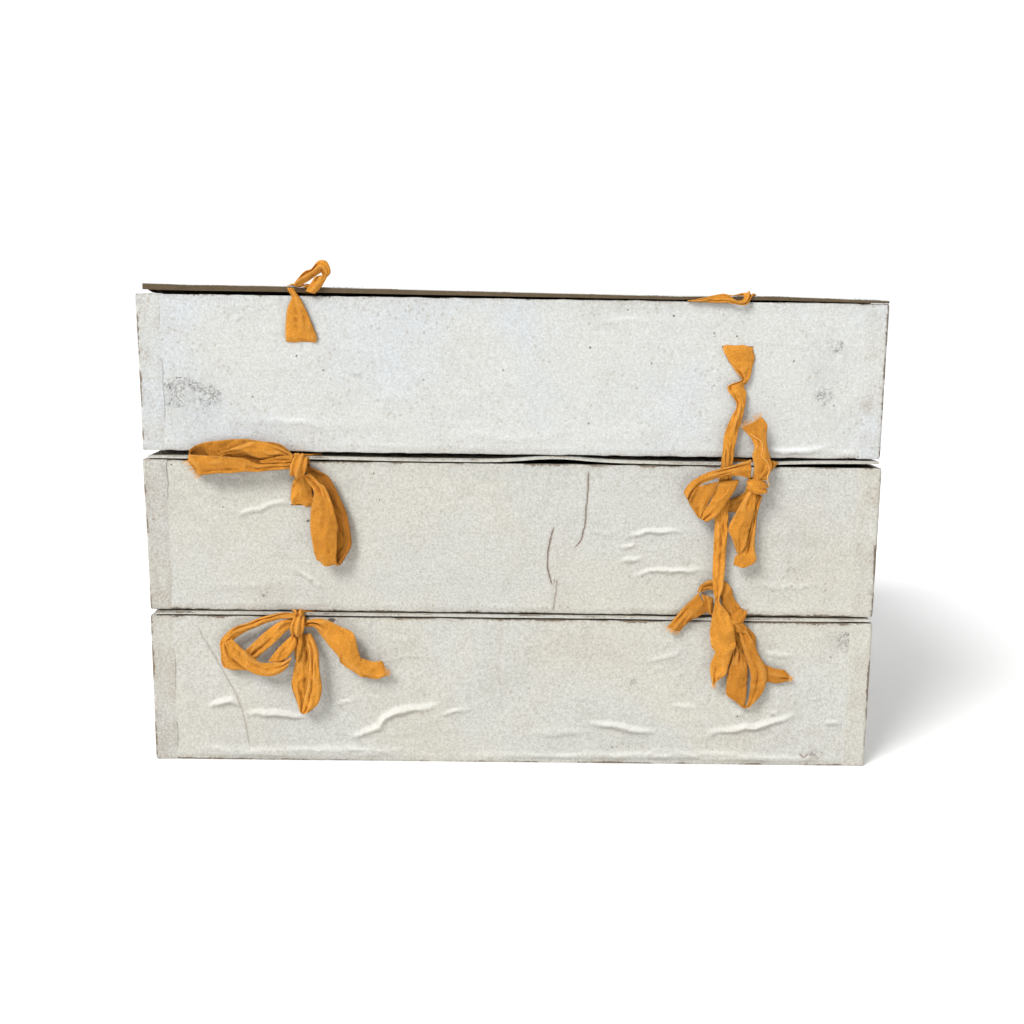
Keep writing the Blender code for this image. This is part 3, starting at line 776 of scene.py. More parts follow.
def add_piece(name, points, faces, finishes, indices=None, paint=None, weave=None, sharp=38.0):
    """A mesh object at the origin, from points and faces, with its painted values."""
    data = bpy.data.meshes.new(name)
    data.from_pydata(np.asarray(points).tolist(), [], faces)
    for chosen in finishes:
        data.materials.append(finish(chosen))
    if indices is not None:
        data.polygons.foreach_set("material_index", np.asarray(indices, np.int32))
    for key, values in (paint or {}).items():
        layer = data.attributes.new(key, "FLOAT", "POINT")
        layer.data.foreach_set("value", np.asarray(values, np.float32))
    if weave is not None:
        layer = data.uv_layers.new(name="weave")
        corner = np.empty(len(data.loops), np.int32)
        data.loops.foreach_get("vertex_index", corner)
        layer.data.foreach_set("uv", np.asarray(weave, np.float32)[corner].ravel())
    data.polygons.foreach_set("use_smooth", np.ones(len(data.polygons), bool))
    data.validate()
    if sharp is not None:
        data.set_sharp_from_angle(angle=math.radians(sharp))
    data.update()
    made = bpy.data.objects.new(name, data)
    bpy.context.collection.objects.link(made)
    return made


def baked(piece):
    """The piece with its modifiers turned into plain mesh."""
    bpy.context.view_layer.update()
    graph = bpy.context.evaluated_depsgraph_get()
    evaluated = piece.evaluated_get(graph)
    data = bpy.data.meshes.new_from_object(evaluated, preserve_all_data_layers=True, depsgraph=graph)
    old = piece.data
    piece.modifiers.clear()
    piece.data = data
    data.name = piece.name
    bpy.data.meshes.remove(old)
    return piece


def thicken(piece, thickness, offset=0.0):
    modifier = piece.modifiers.new("Thickness", "SOLIDIFY")
    modifier.thickness = thickness
    modifier.offset = offset
    modifier.use_even_offset = False
    return baked(piece)


def settle(piece, body, slot, *nodes):
    """Hands a finished piece to its body and the CAD nodes that it stands for. The slot is not used."""
    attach(piece, body)
    if nodes:
        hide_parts(*nodes)
    return piece


def cloud(u, v, size, seed, stretch=1.0):
    """Smooth noise from -1 to 1 over two coordinates, with features about size wide."""
    random = np.random.RandomState(seed)
    lattice = random.rand(64, 64) * 2 - 1
    x = u / size
    y = v / (size * stretch)
    i = np.floor(x).astype(int)
    j = np.floor(y).astype(int)
    fx = x - i
    fy = y - j
    fx = fx * fx * (3 - 2 * fx)
    fy = fy * fy * (3 - 2 * fy)
    low = lattice[i % 64, j % 64] * (1 - fx) + lattice[(i + 1) % 64, j % 64] * fx
    high = lattice[i % 64, (j + 1) % 64] * (1 - fx) + lattice[(i + 1) % 64, (j + 1) % 64] * fx
    return low * (1 - fy) + high * fy


def ease(value, low, high):
    share = np.clip((value - low) / (high - low), 0, 1)
    return share * share * (3 - 2 * share)


def near_line(u, v, points):
    """For each place: its signed distance from a line of points, and the share of the way along it."""
    points = np.asarray(points, float)
    best = np.full(u.shape, 1e9)
    side = np.ones(u.shape)
    along = np.zeros(u.shape)
    lengths = np.hypot(*(points[1:] - points[:-1]).T)
    starts = np.concatenate([[0], np.cumsum(lengths)])
    for (u0, v0), (u1, v1), length, start in zip(points, points[1:], lengths, starts):
        du, dv = (u1 - u0) / length, (v1 - v0) / length
        t = np.clip((u - u0) * du + (v - v0) * dv, 0, length)
        ru, rv = u - u0 - du * t, v - v0 - dv * t
        distance = np.hypot(ru, rv)
        closer = distance < best
        best = np.where(closer, distance, best)
        side = np.where(closer, np.where(ru * dv - rv * du >= 0, 1.0, -1.0), side)
        along = np.where(closer, (start + t) / starts[-1], along)
    return best * side, along


# ---- boards


def grid_lines(length, fine, coarse, gaps=()):
    """A board's fine lines, and which of them its back uses. Each gap's two sides are lines of both."""
    rough = [k * length / round(length / coarse) for k in range(round(length / coarse) + 1)]
    rough = [x for x in rough if not any(low - 0.003 < x < high + 0.003 for low, high in gaps)]
    rough = sorted(rough + [side for gap in gaps for side in gap])
    kept = []
    marks = []
    for low, high in zip(rough, rough[1:]):
        marks.append(len(kept))
        count = max(1, round((high - low) / fine))
        inside = [low + (high - low) * k / count for k in range(count)]
        if low == 0:
            inside = [0, *EDGE_STEPS] + [x for x in inside if x > EDGE_STEPS[-1] + fine * 0.4]
        if high == rough[-1]:
            inside = [x for x in inside if x < length - EDGE_STEPS[-1] - fine * 0.4]
            inside += [length - step for step in reversed(EDGE_STEPS)]
        kept += inside
    marks.append(len(kept))
    kept.append(length)
    return np.array(kept), np.array(marks)


def board(
    name, origin, across, up, us, vs, holes, thickness, relief, finishes, seed, rag=0.00025, swell=None
):
    """A closed board with a finely worked face, rims that follow it, and a plainer back.

    relief(u, v) gives the face's height, the whole board's warp and the painted values. swell(u, v) is how
    much thicker the board has become."""
    (fine_u, coarse_u), (fine_v, coarse_v) = us, vs
    across, up = Vector(across), Vector(up)
    out = across.cross(up)
    u, v = np.meshgrid(fine_u, fine_v, indexing="ij")
    near = np.minimum(np.minimum(u, fine_u[-1] - u), np.minimum(v, fine_v[-1] - v))
    height, warp, paint = relief(u, v)
    drop = 0.00055 * np.clip(1 - near / 0.0014, 0, 1) ** 2.2
    height = height * np.clip(near / 0.003, 0, 1) + warp - drop
    fringe = np.clip(1 - near / 0.004, 0, 1)
    ru = u + rag * fringe * cloud(v, u, 0.006, seed) * ((u < 0.004) | (u > fine_u[-1] - 0.004))
    rv = v + rag * fringe * cloud(u, v, 0.006, seed + 1) * ((v < 0.004) | (v > fine_v[-1] - 0.004))
    axes = np.array([across, up, out])
    face = np.stack([ru, rv, height], -1) @ axes + np.array(origin)
    cu, cv = np.ix_(coarse_u, coarse_v)
    swollen = swell(u, v)[cu, cv] if swell else 0.0
    back = np.stack([ru[cu, cv], rv[cu, cv], warp[cu, cv] - thickness - swollen], -1) @ axes
    back = back + np.array(origin)
    middle_u = (fine_u[1:] + fine_u[:-1]) / 2
    middle_v = (fine_v[1:] + fine_v[:-1]) / 2
    mu, mv = np.meshgrid(middle_u, middle_v, indexing="ij")
    keep = np.ones(mu.shape, bool)
    for low_u, high_u, low_v, high_v in holes:
        keep &= ~((mu > low_u) & (mu < high_u) & (mv > low_v) & (mv < high_v))
    rows, columns = u.shape
    number = np.arange(rows * columns).reshape(rows, columns)
    behind = rows * columns + np.arange(back.shape[0] * back.shape[1]).reshape(back.shape[:2])
    i, j = np.nonzero(keep)
    faces = np.stack([number[i, j], number[i + 1, j], number[i + 1, j + 1], number[i, j + 1]], -1).tolist()
    indices = [0] * len(faces)
    big = keep[np.ix_(coarse_u[:-1], coarse_v[:-1])]
    last_i, last_j = big.shape
    for a in range(last_i):
        i0, i1 = coarse_u[a], coarse_u[a + 1]
        for b in range(last_j):
            if not big[a, b]:
                continue
            j0, j1 = coarse_v[b], coarse_v[b + 1]
            faces.append([behind[a, b], behind[a, b + 1], behind[a + 1, b + 1], behind[a + 1, b]])
            indices.append(2)
            if a == 0 or not big[a - 1, b]:
                faces.append([*number[i0, j0 : j1 + 1], behind[a, b + 1], behind[a, b]])
                indices.append(1)
            if a == last_i - 1 or not big[a + 1, b]:
                faces.append([*number[i1, j0 : j1 + 1][::-1], behind[a + 1, b], behind[a + 1, b + 1]])
                indices.append(1)
            if b == 0 or not big[a, b - 1]:
                faces.append([*number[i0 : i1 + 1, j0][::-1], behind[a, b], behind[a + 1, b]])
                indices.append(1)
            if b == last_j - 1 or not big[a, b + 1]:
                faces.append([*number[i0 : i1 + 1, j1], behind[a + 1, b + 1], behind[a, b + 1]])
                indices.append(1)
    points = np.concatenate([face.reshape(-1, 3), back.reshape(-1, 3)])
    full = {}
    for key, values in paint.items():
        rest = 0.28 if key == "wear" else 0.0
        full[key] = np.concatenate([values.ravel(), np.full(back.shape[0] * back.shape[1], rest)])
    used = np.zeros(len(points), bool)
    for corners in faces:
        used[corners] = True
    renumber = np.cumsum(used) - 1
    faces = [renumber[corners].tolist() for corners in faces]
    full = {key: values[used] for key, values in full.items()}
    return add_piece(name, points[used], faces, finishes, indices, full)


def edge_wear(u, v, width, height, seed):
    near = np.minimum(np.minimum(u, width - u), np.minimum(v, height - v))
    wear = np.clip(1 - near / 0.0045, 0, 1) ** 1.3
    return wear * (0.72 + 0.42 * cloud(u + v, u - v, 0.02, seed))


def plain_relief(width, height, seed):
    """The face of a side or rear wall: gentle waves in the paper, and wear along its edges."""

    def relief(u, v):
        waves = cloud(u, v, 0.045, seed) * 0.35 + cloud(u, v, 0.014, seed + 3) * 0.16
        creases = np.zeros(u.shape)
        random = np.random.RandomState(seed)
        for _ in range(9):
            start = random.rand(2) * (width, height)
            turn = random.randn() * 0.35
            length = 0.02 + random.rand() * 0.05
            ends = [start, start + np.array([math.cos(turn), math.sin(turn)]) * length]
            bend = (ends[0] + ends[1]) / 2 + random.randn(2) * 0.003
            distance, share = near_line(u, v, [ends[0], bend, ends[1]])
            creases += 0.55 / (1 + (distance / 0.0016) ** 2) * np.sin(np.pi * share)
        full = (waves + creases) * MM * ease(np.minimum(u, width - u), 0.012, 0.024)
        full += BULGE * np.sin(np.pi * u / width) * np.sin(np.pi * v / height)
        # Random stains, and browner within 12 mm of the bottom.
        stain = np.clip(cloud(u, v, 0.06, seed + 5), 0, 1) * 0.5 + ease(0.012 - v, 0, 0.012) * 0.4
        scuff = np.clip(cloud(u, v, 0.05, seed + 6) - 0.35, 0, 1) * 0.9
        paint = {"wear": edge_wear(u, v, width, height, seed), "stain": stain, "scuff": scuff}
        return full, np.zeros(u.shape), paint

    return relief


def front_relief(box, width, height):
    """The face of a front: its own ridges, cracks, stains and scuffs, over waves in the paper, and the
    painted light of its slopes.
    """
    seed = 11 + 7 * BOXES.index(box)
    strength = {"bottom": 1.0, "middle": 0.75, "top": 0.6}[box]

    def relief(u, v):
        mu, mv = u / MM, v / MM
        full = strength * (cloud(mu, mv, 46, seed, 0.6) * 0.7 + cloud(mu, mv, 17, seed + 1, 0.7) * 0.34)
        full += cloud(mu, mv, 6, seed + 2) * 0.07 + cloud(mu, mv, 3, seed + 4) * 0.03
        sharp = np.clip(1 - 9 * np.abs(cloud(mu + mv * 0.4, mv, 30, seed + 9, 0.45)), 0, 1)
        full += strength * 0.55 * sharp * np.clip(cloud(mu, mv, 38, seed + 10) + 0.25, 0, 1)
        full += 0.45 * np.exp(-(((mv - 4.5) / 1.5) ** 2)) * (0.7 + 0.5 * cloud(mu, mv, 15, seed + 11))
        wander_u = mu + cloud(mu, mv, 7, seed + 7) * 1.1
        wander_v = mv + cloud(mu, mv, 7, seed + 8) * 1.1
        for tall, half, points in RIDGES[box]:
            distance, share = near_line(wander_u, wander_v, points)
            trough = 0.25 / (1 + ((distance + 2.4 * half) / (1.6 * half)) ** 2)
            crest = 1 / (1 + (distance / half) ** 2) - trough
            fading = np.sin(np.pi * np.clip(share, 0.02, 0.98)) ** 0.6
            full += 1.5 * tall * settings().creases * crest * fading
        full = full * ease(np.minimum(mu, width / MM - mu), 12, 24)
        side = np.full(u.shape, 4.0)
        depth = np.zeros(u.shape)
        for strong, half, points in CRACKS[box]:
            distance, share = near_line(mu, mv, points)
            nearest = np.abs(distance) < np.abs(side)
            side = np.where(nearest, distance, side)
            ends = np.clip(np.minimum(share, 1 - share) * 12, 0, 1)
            depth = np.maximum(depth, strong * ends * ease(-np.abs(distance), -2.9, -1.9))
            full -= strong * 0.25 * np.exp(-((distance / 1.0) ** 2)) * ends
            full += strong * 0.22 * np.exp(-(((distance - 2.2) / 1.6) ** 2)) * ends
        paint = {kind: np.zeros(u.shape) for kind in ("stain", "scuff", "grey", "spot")}
        for kind, marks in MARKS[box].items():
            for strong, x, z, *halves in marks:
                half_x, half_z = (max(half, SMALLEST_MARK) for half in halves)
                mark = strong * np.exp(-((((mu - x) / half_x) ** 2 + ((mv - z) / half_z) ** 2) ** 1.2))
                paint[kind] = np.maximum(paint[kind], mark)
        # Browner within 7 mm of the bottom edge and 6 mm of the top edge.
        browner_near_top_and_bottom = ease(7 - mv, 0, 7) * 0.45 + ease(mv - height / MM + 6, 0, 6) * 0.3
        paint["stain"] = np.clip(paint["stain"] + browner_near_top_and_bottom * (0.5 + 0.7 * cloud(mu, mv, 22, seed + 5)), 0, 1)
        worn = {"bottom": 1.25, "middle": 1.2, "top": 0.9}[box]
        paint["wear"] = edge_wear(u, v, width, height, seed) * worn
        # Painted light from the relief's slope: positive where the paper faces up, negative where it faces
        # down.
        slope = np.gradient(full, mv[0], axis=1)
        paint["crest"] = np.clip(-1.6 * slope, -1, 1)
        paint["crack_side"] = np.clip(side, -3, 3)
        paint["crack_depth"] = depth
        return full * MM, np.zeros(u.shape), paint

    return relief


def middle_of(box):
    low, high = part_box(f"{box}_front_wall")
    return (low.x + high.x) / 2


def front_of(box):
    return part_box(f"{box}_front_left_corner_strip")[0].y


def paper_of(box, on_board=True):
    tone = "cool" if box == "top" else "warm"
    return f"{tone}_white_paper_on_board" if on_board else f"{tone}_white_paper"


def lean_out(piece, box):
    """Leans the left end of a tray's piece outwards, most at the top."""
    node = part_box(f"{box}_front_left_corner_strip")
    left, low, high = node[0].x, node[0].z, node[1].z
    count = len(piece.data.vertices)
    points = np.empty(count * 3, np.float32)
    piece.data.vertices.foreach_get("co", points)
    points = points.reshape(-1, 3)
    share = np.clip((points[:, 2] - low) / (high - low), 0, 1)
    at_bottom, at_top = LEAN[box]
    reach = np.clip(1 - (points[:, 0] - left) / 0.06, 0, 1)
    points[:, 0] -= (at_bottom + (at_top - at_bottom) * share**1.4) * MM * reach
    points[:, 2] = np.maximum(points[:, 2], 0.00002)
    piece.data.vertices.foreach_set("co", points.ravel())
    piece.data.update()
    return piece


def front_panel(box):
    node = f"{box}_front_wall"
    low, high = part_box(node)
    width, height = high.x - low.x, high.z - low.z
    middle = middle_of(box)
    gaps = []
    for side, x in SLIT_X.items():
        start = middle + x - SLIT_SIZE[0] / 2 - low.x
        gaps.append((start, start + SLIT_SIZE[0] * SLIT_OPEN.get((box, side), 1.0)))
    rise = (SLIT_RISE - SLIT_SIZE[1] / 2, SLIT_RISE + SLIT_SIZE[1] / 2)
    piece = board(
        f"{box}_front_panel", (low.x, low.y, low.z), (1, 0, 0), (0, 0, 1),
        grid_lines(width, 0.0010, 0.010, gaps), grid_lines(height, 0.0010, 0.010, [rise]),
        [(*gap, *rise) for gap in gaps], high.y - low.y, front_relief(box, width, height),
        [paper_of(box), paper_of(box, False), paper_of(box, False)], 20 + BOXES.index(box),
    )
    return settle(lean_out(piece, box), f"{box}_tray", paper_of(box), node)


def side_panel(box, side):
    node = f"{box}_{side}_wall"
    low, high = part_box(node)
    height = high.z - low.z
    turned = {
        "rear": ((high.x, high.y, low.z), (-1, 0, 0), high.x - low.x, high.y - low.y),
        "left": ((low.x, high.y, low.z), (0, -1, 0), high.y - low.y, high.x - low.x),
        "right": ((high.x, low.y, low.z), (0, 1, 0), high.y - low.y, high.x - low.x),
    }
    origin, across, width, thickness = turned[side]
    seed = 40 + 5 * BOXES.index(box) + ("left", "right", "rear").index(side)
    piece = board(
        f"{box}_{side}_panel", origin, across, (0, 0, 1),
        grid_lines(width, 0.0022, 0.012), grid_lines(height, 0.0022, 0.012),
        [], thickness, plain_relief(width, height, seed),
        [paper_of(box), paper_of(box, False), paper_of(box, False)], seed,
    )
    return settle(lean_out(piece, box), f"{box}_tray", paper_of(box), node)


def lid_warp(box, x, y):
    """How far a lid has risen at a place, with x and y measured from the middle of the lid."""
    mx, back = x / MM, (y + HALF_DEPTH) / MM
    if box == "top":
        curl = 0.4 + 5.0 * np.clip(0.5 - x / 0.5, 0, 1)
        places = (-250, -215, -160, -119, -6, 108, 170, 215, 248)
        curl = curl + np.interp(mx, places, (-0.3, -0.8, -0.3, -0.4, -0.55, -0.6, 0.9, 0.3, -0.25))
        reach = 34 + 26 * ease(mx, -252, -120)
        return np.maximum(curl, 0.05) * np.clip(1 - back / reach, 0, 1) ** 1.7 * MM
    if box == "middle":
        arch = 2.3 * np.exp(-(((mx - 27) / 26) ** 2))
        lifted = arch + 1.5 * ease(mx, 140, 215) + 0.35 * np.sin(mx / 31.0)
        return np.maximum(lifted * np.clip(1 - back / 120, 0, 1) ** 1.4, -0.2) * MM
    lifted = 0.5 * np.exp(-(((mx + 60) / 60) ** 2)) + 0.25 * np.sin(mx / 37.0)
    return lifted * np.clip(1 - back / 100, 0, 1) * MM


def lid_cover(box):
    node = f"{box}_lid_board"
    low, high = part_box(node)
    middle, front = middle_of(box), front_of(box)
    width, depth = high.x - low.x, high.y - low.y
    starts = [middle + x - SLIT_SIZE[0] / 2 - low.x for x in SLIT_X.values()]
    gaps = [(start, start + SLIT_SIZE[0]) for start in starts]
    back = front + LID_SLIT_BACK - low.y
    rise = (back - SLIT_SIZE[1] / 2, back + SLIT_SIZE[1] / 2)
    seed = 70 + BOXES.index(box)

    def relief(u, v):
        x, y = u + low.x - middle, v + low.y - front - HALF_DEPTH
        warp = lid_warp(box, x, y)
        full = (cloud(u, v, 0.07, seed) * 0.3 + cloud(u, v, 0.02, seed + 1) * 0.15) * MM
        random = np.random.RandomState(seed)
        for _ in range(10):
            start = random.rand(2) * (width, depth)
            turn = random.rand() * math.pi
            end = start + np.array([math.cos(turn), math.sin(turn)]) * (0.03 + 0.06 * random.rand())
            bend = (start + end) / 2 + random.randn(2) * 0.004
            distance, share = near_line(u, v, [start, bend, end])
            full += 0.4 * MM / (1 + (distance / 0.002) ** 2) * np.sin(np.pi * share)
        stain = np.clip(cloud(u, v, 0.09, seed + 5), 0, 1) * 0.5
        scuff = np.clip(cloud(u, v, 0.06, seed + 6) - 0.3, 0, 1)
        wear = edge_wear(u, v, width, depth, seed) * 0.9
        torn = ease(-np.abs(u + low.x - middle + 0.14), -0.011, -0.004) * ease(-v, -0.006, -0.002)
        scuff = np.maximum(scuff, torn * (box == "top"))
        return full * 0.6, warp, {"wear": wear, "stain": stain, "scuff": scuff}

    def swell(u, v):
        x, y = u + low.x - middle, v + low.y - front - HALF_DEPTH
        return 0.48 * np.clip(lid_warp(box, x, y), 0, None) * np.clip(1 - v / 0.0075, 0, 1) * (box == "top")

    # The top lid's rim and underside take the darkened board, partly painted shade.
    rim = "lid_board" if box == "top" else paper_of(box, False)
    under = "lid_board" if box == "top" else "greyboard"
    piece = board(
        f"{box}_lid_cover", (low.x, low.y, low.z + LID_THICKNESS), (1, 0, 0), (0, 1, 0),
        grid_lines(width, 0.0026, 0.008, gaps), grid_lines(depth, 0.0026, 0.008, [rise]),
        [(*gap, *rise) for gap in gaps], LID_THICKNESS, relief,
        [paper_of(box), rim, under], seed, rag=0.0004, swell=swell,
    )
    return settle(piece, f"{box}_lid", paper_of(box), node)


def sheet_grid(name, us, vs, place, finishes, thickness, offset=-1.0, paint=None):
    """A sheet of paper over a grid, with place(u, v) its outer surface, given its thickness."""
    u, v = np.meshgrid(us, vs, indexing="ij")
    points = place(u, v).reshape(-1, 3)
    rows, columns = u.shape
    number = np.arange(rows * columns).reshape(rows, columns)
    faces = quads_of(number)
    near = np.minimum(np.minimum(u - us[0], us[-1] - u), np.minimum(v - vs[0], vs[-1] - v))
    values = {"wear": np.clip(1 - near / 0.002, 0, 1).ravel() * 0.55}
    for key, more in (paint or {}).items():
        values[key] = more(u, v).ravel()
    piece = add_piece(name, points, faces, finishes, None, values)
    return thicken(piece, thickness, offset)


def corner_paper(box, end, side):
    """The strip of paper folded round one upright corner."""
    node = f"{box}_{end}_{side}_corner_strip"
    low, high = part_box(node)
    seed = 90 + BOXES.index(box) * 4 + (end == "rear") * 2 + (side == "right")
    bend = 0.0016
    corner_x = low.x if side == "left" else high.x
    corner_y = low.y if end == "front" else high.y
    into_x = 1 if side == "left" else -1
    into_y = 1 if end == "front" else -1
    flat = high.x - low.x - bend
    tall = high.z - low.z
    arc = bend * math.pi / 2
    leg = np.linspace(0, flat, 15)
    us = np.concatenate([leg, flat + arc * np.linspace(0, 1, 6)[1:-1], flat + arc + leg])
    edge = np.array([0, 0.0003, 0.001])
    vs = np.concatenate([edge, np.linspace(0.0025, tall - 0.0025, 64), tall - edge[::-1]])

    def place(u, v):
        turn = np.clip((u - flat) / arc, 0, 1) * math.pi / 2
        first = np.clip(flat - u, 0, None)
        second = np.clip(u - flat - arc, 0, None)
        ragged = cloud(v, u * 0, 0.009, seed) * 0.0005 + cloud(v, u * 0, 0.003, seed + 1) * 0.0002
        first = first - ragged * ease(flat - u, flat - 0.003, flat)
        second = second - ragged * ease(u, us[-1] - 0.003, us[-1])
        x = bend - bend * np.sin(turn) + first
        y = bend - bend * np.cos(turn) + second
        dent = np.clip(cloud(v, u * 0, 0.011, seed + 2) - 0.1, 0, 1) * 0.0008 * np.sin(turn * 2)
        press = np.clip(1 - np.minimum(v, vs[-1] - v) / 0.0025, 0, 1) ** 2 * 0.0004
        wave = (cloud(v, u, 0.018, seed + 3) + 1) * 0.00012
        flat_x = np.where(u > flat + arc, 1.0, 0.0)
        flat_y = np.where(u < flat, 1.0, 0.0)
        hug_y = ease(flat - u, 0.001, 0.006) * 0.00036 + ease(flat - u, flat - 0.004, flat) * 0.00032
        hug_x = ease(u - flat - arc, 0.001, 0.006) * 0.00036 + ease(u, us[-1] - 0.004, us[-1]) * 0.00032
        x = x + dent * 0.7 + press + wave * flat_x + hug_x
        y = y + dent * 0.7 + press + wave * flat_y + hug_y
        return np.stack([corner_x + into_x * x, corner_y + into_y * y, low.z + v + 0 * u], -1)

    def fold_wear(u, v):
        rubbed = 0.80 + 0.35 * cloud(v, u * 0, 0.012, seed + 4) + 0.2 * cloud(v, u * 0, 0.004, seed + 5)
        fold = np.exp(-(((u - flat - arc / 2) / 0.0022) ** 2)) * rubbed
        rim = np.clip(1 - np.minimum(v, vs[-1] - v) / 0.003, 0, 1) * 0.75
        free = np.clip(1 - np.minimum(u, us[-1] - u) / 0.0016, 0, 1) * 0.12
        return np.maximum(np.maximum(fold, rim), free)

    def dirt(u, v):
        soiled = {"bottom": 0.42, "middle": 0.55, "top": 0.12}[box] * (1.0 if side == "left" else 0.5)
        if (box, end, side) == ("top", "front", "right"):
            soiled = 0.18 + 0.9 * np.exp(-(((u - 0.004) / 0.004) ** 2) - ((v - 0.037) / 0.005) ** 2)
        if (box, end, side) == ("top", "front", "left"):
            soiled = 0.10 + 0.8 * np.exp(-(((u - flat + 0.004) / 0.003) ** 2) - ((v - 0.064) / 0.004) ** 2)
        return np.clip(soiled + 0.35 * cloud(v, u, 0.012, seed + 6), 0, 1)

    def rubs(u, v):
        return np.clip(cloud(v, u, 0.016, seed + 8) - 0.25, 0, 1) * 0.8

    finishes = [paper_of(box, False)]
    paint = {"wear": fold_wear, "stain": dirt, "scuff": rubs}
    piece = sheet_grid(f"{box}_{end}_{side}_corner_paper", us, vs, place, finishes, 0.00035, 0.0, paint)
    facing_out(piece)
    return settle(lean_out(piece, box), f"{box}_tray", paper_of(box, False), node)


def quads_of(number):
    """The four-cornered faces of a grid of numbered points."""
    quads = np.stack([number[:-1, :-1], number[1:, :-1], number[1:, 1:], number[:-1, 1:]], -1)
    return quads.reshape(-1, 4).tolist()


def facing_out(piece):
    """Turns a closed mesh's faces to point outwards."""
    mesh = bmesh.new()
    mesh.from_mesh(piece.data)
    if mesh.calc_volume(signed=True) < 0:
        bmesh.ops.reverse_faces(mesh, faces=mesh.faces[:])
    mesh.to_mesh(piece.data)
    mesh.free()
    return piece


def hinge_paper(box):
    """The strip that hinges the lid: up the rear wall, over the lid's rear edge and onto its top."""
    node = f"{box}_hinge_strip"
    low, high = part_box(node)
    lid_low, lid_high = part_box(f"{box}_lid_board")
    top = high.z
    lid_top = lid_low.z + LID_THICKNESS
    rear = high.y + 0.0001
    lid_rear = lid_high.y
    seed = 130 + BOXES.index(box)
    path = [
        (rear, low.z), (rear, top - 0.006), (rear + 0.0002, top - 0.0015), (rear + 0.0003, top + 0.001),
        (rear - 0.0004, lid_top - 0.0008), (lid_rear - 0.0004, lid_top + 0.0004),
        (lid_rear - 0.003, lid_top + 0.0004),
        (lid_rear - 0.020, lid_top + 0.0004),
    ]
    path = smooth_path(path, FINE_STEP)
    along = np.concatenate([[0], np.cumsum(np.hypot(*(path[1:] - path[:-1]).T))])
    us = np.linspace(0, high.x - low.x, 190)

    def place(u, v):
        y = np.interp(v, along, path[:, 0])
        z = np.interp(v, along, path[:, 1])
        ragged = (cloud(u, v * 0, 0.02, seed) + 0.5 * cloud(u, v * 0, 0.004, seed + 1)) * 0.0004
        z = z + ragged * ease(0.004 - v, 0, 0.004)
        y = y + ragged * ease(v, along[-1] - 0.004, along[-1])
        lift = (cloud(u, v, 0.012, seed + 2) + 1) * 0.00008
        on_wall = ease(0.02 - v, 0, 0.004)
        return np.stack([high.x - u, y + lift * on_wall, z + lift * (1 - on_wall)], -1)

    def creased(u, v):
        bent = np.exp(-(((v - 0.0268) / 0.0028) ** 2))
        rubbed = bent * (0.62 + 0.3 * cloud(u, v, 0.02, seed + 3))
        return np.maximum(rubbed, np.clip(1 - v / 0.002, 0, 1) * 0.4)

    finishes = [paper_of(box, False)]
    piece = sheet_grid(f"{box}_hinge_paper", us, along, place, finishes, 0.0004, 1.0, {"wear": creased})
    facing_out(piece)
    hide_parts(node)
    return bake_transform(piece)


def smooth_path(points, step):
    """A smooth line through points, with its own points about a step apart."""
    points = np.asarray(points, float)
    lengths = np.linalg.norm(points[1:] - points[:-1], axis=1)
    at = np.concatenate([[0], np.cumsum(np.maximum(lengths, 1e-6))])
    slopes = np.empty_like(points)
    slopes[1:-1] = (points[2:] - points[:-2]) / (at[2:] - at[:-2])[:, None]
    slopes[0] = (points[1] - points[0]) / (at[1] - at[0])
    slopes[-1] = (points[-1] - points[-2]) / (at[-1] - at[-2])
    count = max(3, int(round(at[-1] / step)) + 1)
    where = np.linspace(0, at[-1], count)
    k = np.clip(np.searchsorted(at, where, side="right") - 1, 0, len(points) - 2)
    span = (at[k + 1] - at[k])[:, None]
    t = ((where - at[k])[:, None]) / span
    first = 2 * t**3 - 3 * t**2 + 1
    second = t**3 - 2 * t**2 + t
    third = 3 * t**2 - 2 * t**3
    fourth = t**3 - t**2
    line = first * points[k] + second * span * slopes[k]
    return line + third * points[k + 1] + fourth * span * slopes[k + 1]


def lid_lining(box):
    """The brown paper glued under a lid, raised over the ends of the two tapes."""
    node = f"{box}_lid_lining"
    low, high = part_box(node)
    lid_low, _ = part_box(f"{box}_lid_board")
    middle, front = middle_of(box), front_of(box)
    seed = 150 + BOXES.index(box)
    us = np.linspace(0, high.x - low.x, 151)
    vs = np.concatenate([np.linspace(0, 0.03, 16)[:-1], np.linspace(0.03, high.y - low.y, 90)])

    def place(u, v):
        x, y = high.x - u, v + low.y
        warp = lid_warp(box, x - middle, y - front - HALF_DEPTH)
        raised = np.zeros(u.shape)
        for slit in SLIT_X.values():
            inside = ease(-np.abs(x - middle - slit), -0.0135, -0.0105)
            raised = np.maximum(raised, inside * ease(-(y - front), -0.0255, -0.0225))
        loose = (cloud(u, v, 0.03, seed) + 1) * 0.00018 + (cloud(u, v, 0.01, seed + 1) + 1) * 0.00008
        return np.stack([x, y, lid_low.z + warp - 0.00012 - loose - raised * 0.0006], -1)

    piece = sheet_grid(f"{box}_lid_lining_paper", us, vs, place, ["brown_lining_paper"], 0.0003, -1.0)
    facing_out(piece)
    return settle(piece, f"{box}_lid", "brown_lining_paper", node)


